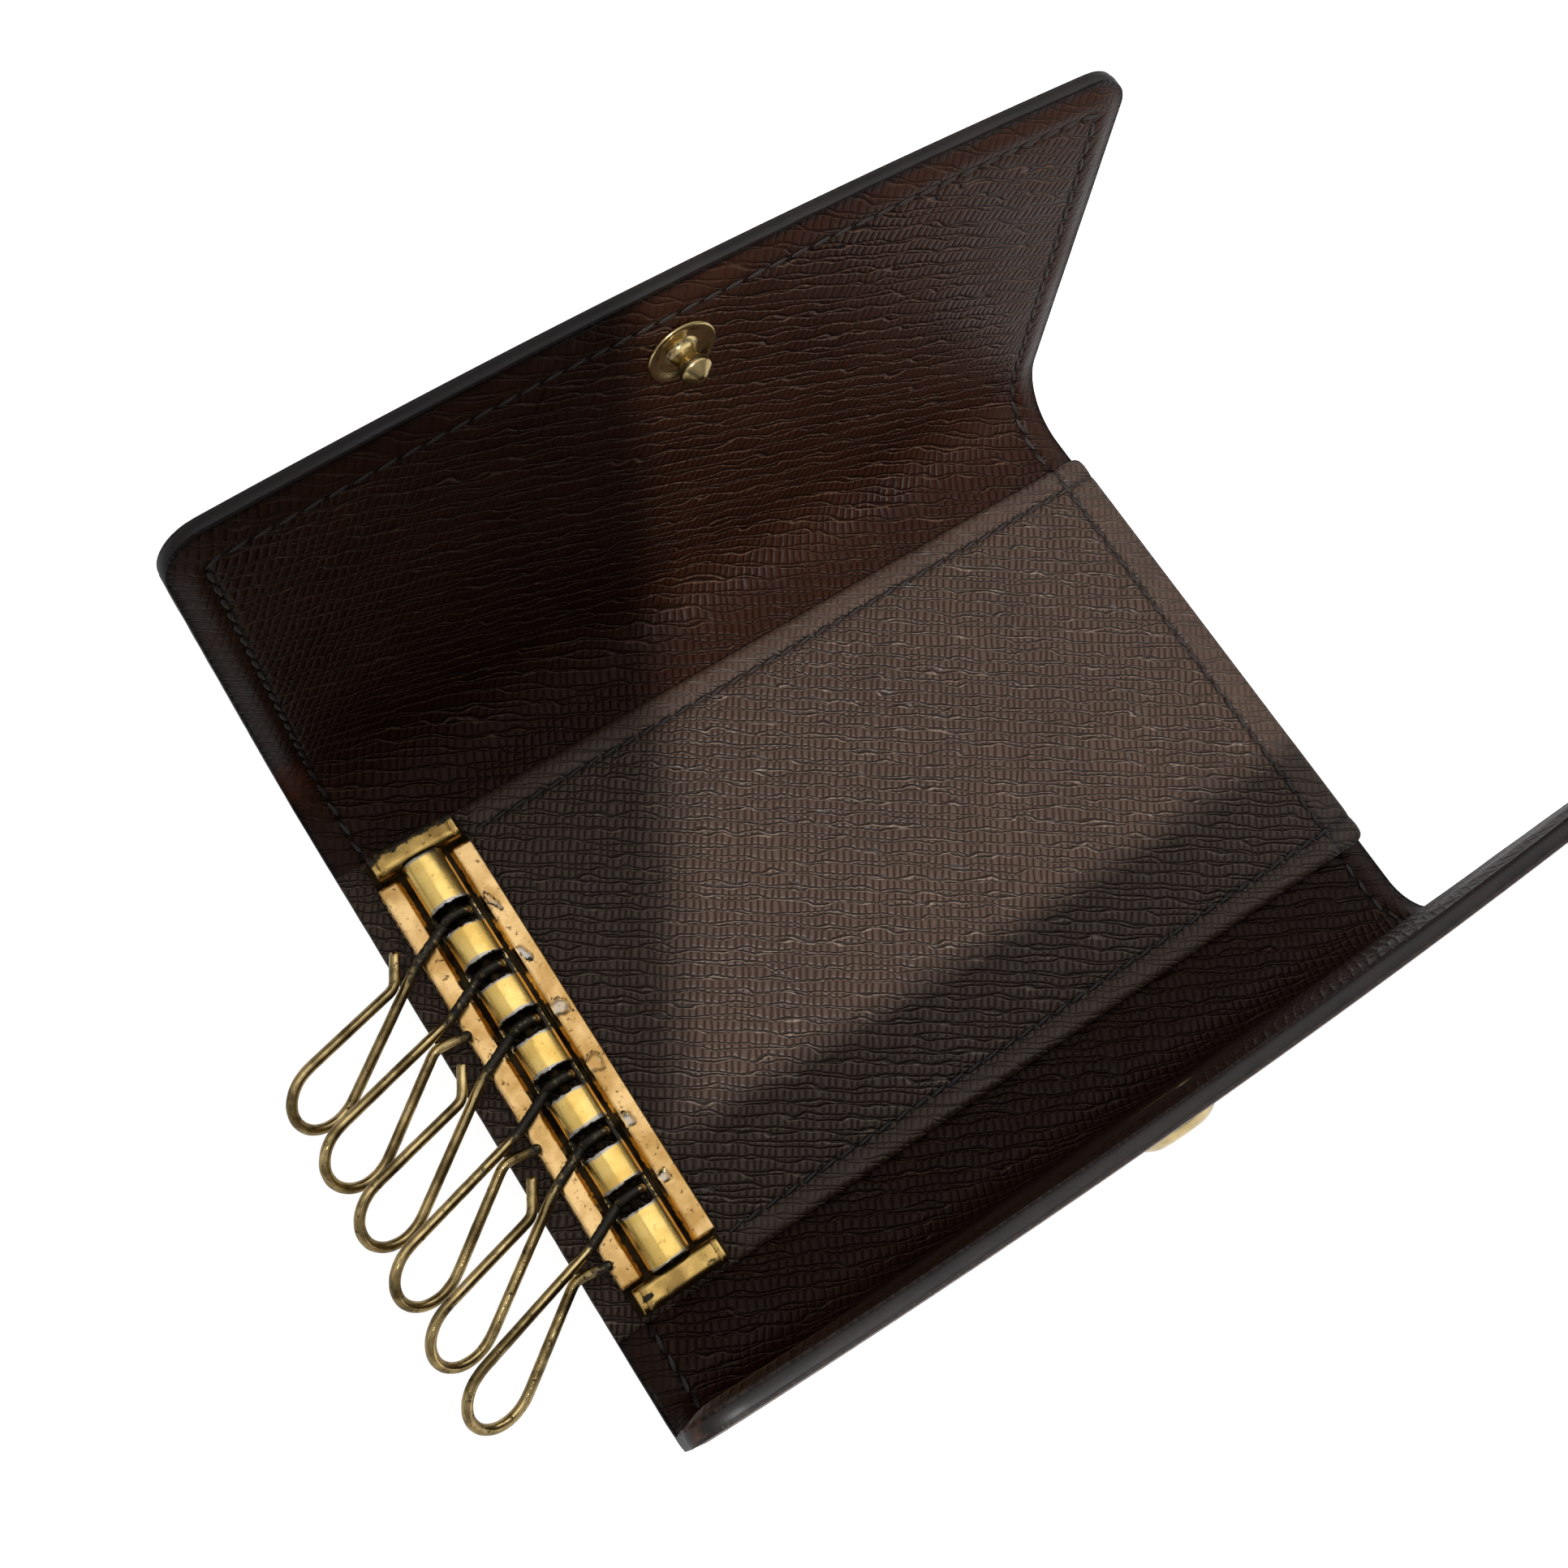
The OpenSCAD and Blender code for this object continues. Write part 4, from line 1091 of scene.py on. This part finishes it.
def buildSnap():
    spot, inward = flapSpot(studSide, 0)
    bm = lathe(roundedProfile(studShape, 0.08, 2), spot, inward)
    turnedShade(bm, spot, inward, studShade)
    piece = finishPiece("snapStud", bm, snapBrass, ["snap_stud"], sharp=30)
    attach(piece, "stud_flap")

    spot, inward = flapSpot(studSide, -case["thickness"])
    ball, rise = dome["radius"], dome["rise"]
    shape = [(0, 0.3), (4.9, 0.3), (4.98, 0.1), (4.98, -0.12), (4.8, -0.26)]
    turns = [radians(t) for t in (23.5, 20, 16, 12, 8, 4)]
    shape += [(ball * sin(a), ball - rise - ball * cos(a)) for a in turns]
    bm = lathe(shape + [(0, -rise)], spot, inward, 72)
    piece = finishPiece("snapCap", bm, snapBrass, ["snap_cap"], sharp=30)
    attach(piece, "stud_flap")

    spot, inward = flapSpot(socketSide, -case["thickness"])
    bm = lathe(socketShape, spot, -inward)
    turnedShade(bm, spot, -inward, socketShade)
    piece = finishPiece("snapSocket", bm, snapBrass, ["snap_socket"], sharp=30)
    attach(piece, "socket_flap")

    spot, inward = flapSpot(socketSide, 0)
    bm = lathe(eyeletShape, spot, inward)
    piece = finishPiece("socketEyelet", bm, snapBrass, ["socket_eyelet"], sharp=30)
    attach(piece, "socket_flap")


buildSnap()
print("snap built")


# Camera, floor and light

view = {
    "lens": 39.0974, "place": (-0.052147, -0.028434, 0.181579), "shift": (-0.004826, 0.019714),
    "right": (0.82816424, -0.55029839, 0.10637512),
    "up": (0.50051617, 0.81152773, 0.30150672),
    "back": (-0.25224502, -0.19645462, 0.94751149),
}
stage = {
    "floorSize": 3.0, "floorDrop": 0.0002,
    "lampPlace": (-0.30, -0.36, 0.80),
    "shadowNear": (-0.0343, -0.017, 0.0031), "shadowFar": (-0.0081, 0.0295, 0.0031),
    "cardShare": 0.12, "cardLong": 0.2, "cardWide": 0.15,
}


def buildCamera():
    data = bpy.data.cameras.new("photoCamera")
    data.sensor_width = 36
    data.lens = view["lens"]
    data.shift_x, data.shift_y = view["shift"]
    data.clip_start = 0.01
    camera = addObject("photoCamera", data)
    turn = Matrix((view["right"], view["up"], view["back"])).transposed()
    camera.matrix_world = Matrix.Translation(view["place"]) @ turn.to_4x4()
    bpy.context.scene.camera = camera


def buildFloor():
    material, add = startMaterial("paleFloor")
    matte = add("BsdfDiffuse", Color="#e6e6e6")
    path = add("LightPath")
    seen = add("Math", path.outputs["Is Glossy Ray"], 0.4, path.outputs["Is Camera Ray"])
    clear = add("Math", seen, path.outputs["Is Transmission Ray"], operation="ADD", use_clamp=True)
    glow = add("Math", clear, 0.9)
    light = add("Emission", Color=(1, 1, 1, 1), Strength=glow)
    both = add("AddShader", matte, light)
    add("OutputMaterial", Surface=both)
    bm = bmesh.new()
    bmesh.ops.create_grid(bm, x_segments=1, y_segments=1, size=stage["floorSize"])
    floor = addMesh("paleFloor", bm, material)
    floor.location.z = -stage["floorDrop"]


def buildLights():
    world = bpy.data.worlds.new("studio")
    bpy.context.scene.world = world
    world.use_nodes = True
    world.node_tree.nodes.clear()
    add = partial(addNode, world.node_tree)
    path = add("LightPath")
    sky = add("TexCoord")
    way = add("SeparateXYZ", Vector=sky.outputs["Generated"])
    side = add("MapRange", way.outputs["X"], -0.3, 0.1, 0.03, 0.1)
    over = add("MapRange", way.outputs["Z"], 0.2, 0.9, 0.0, 0.3)
    level = add("Math", side, over, operation="ADD")
    shine = add("Math", path.outputs["Is Glossy Ray"], 0.2, level)
    ambient = add("Background", Color="#ffffff", Strength=shine)
    white = add("Background", Color=(1, 1, 1, 1), Strength=1.0)
    both = add("MixShader", path.outputs["Is Camera Ray"], ambient, white)
    add("OutputWorld", Surface=both)
    for name, place, size, watts in (
        ("mainLamp", stage["lampPlace"], (0.05, 0.05), 7.6),
        ("windowPanel", (0.435, 0.15, 0.753), (1.87, 0.55), 2.9),
        ("leftPanel", (-0.62, 0.12, 0.50), (0.9, 0.5), 0.5),
    ):
        data = bpy.data.lights.new(name, "AREA")
        data.shape = "RECTANGLE"
        data.size, data.size_y = size
        data.energy = watts
        lamp = addObject(name, data)
        back = Vector(place) - Vector((-0.005, 0, 0.01))
        across = Vector((0, 1, 0)).cross(back).normalized()
        turn = Matrix((across, back.cross(across).normalized(), back.normalized())).transposed()
        lamp.matrix_world = Matrix.Translation(place) @ turn.to_4x4()
        lamp.visible_diffuse = name == "mainLamp"


# A straight shadow lies over the rack half of the case: a dark card between the lamp and the back
def buildFlag():
    lamp, near, far = (Vector(stage[key]) for key in ("lampPlace", "shadowNear", "shadowFar"))
    a, b = near.lerp(lamp, stage["cardShare"]), far.lerp(lamp, stage["cardShare"])
    along = (b - a).normalized()
    side = Vector((-along.y, along.x, 0))
    middle = (a + b) / 2 + side * stage["cardWide"]
    bm = bmesh.new()
    bmesh.ops.create_grid(bm, x_segments=1, y_segments=1, size=1)
    for vert in bm.verts:
        vert.co = middle + along * vert.co.x * stage["cardLong"] + side * vert.co.y * stage["cardWide"]
    material = startMaterial("darkCard")[0]
    finishMaterial(material, Base_Color="#101010", Roughness=1.0)
    card = addMesh("shadowCard", bm, material)
    card.visible_camera = card.visible_glossy = card.visible_diffuse = False


buildCamera()
buildFloor()
buildLights()
buildFlag()
bpy.context.scene.view_settings.view_transform = "Standard"
print("camera, floor and lights set")
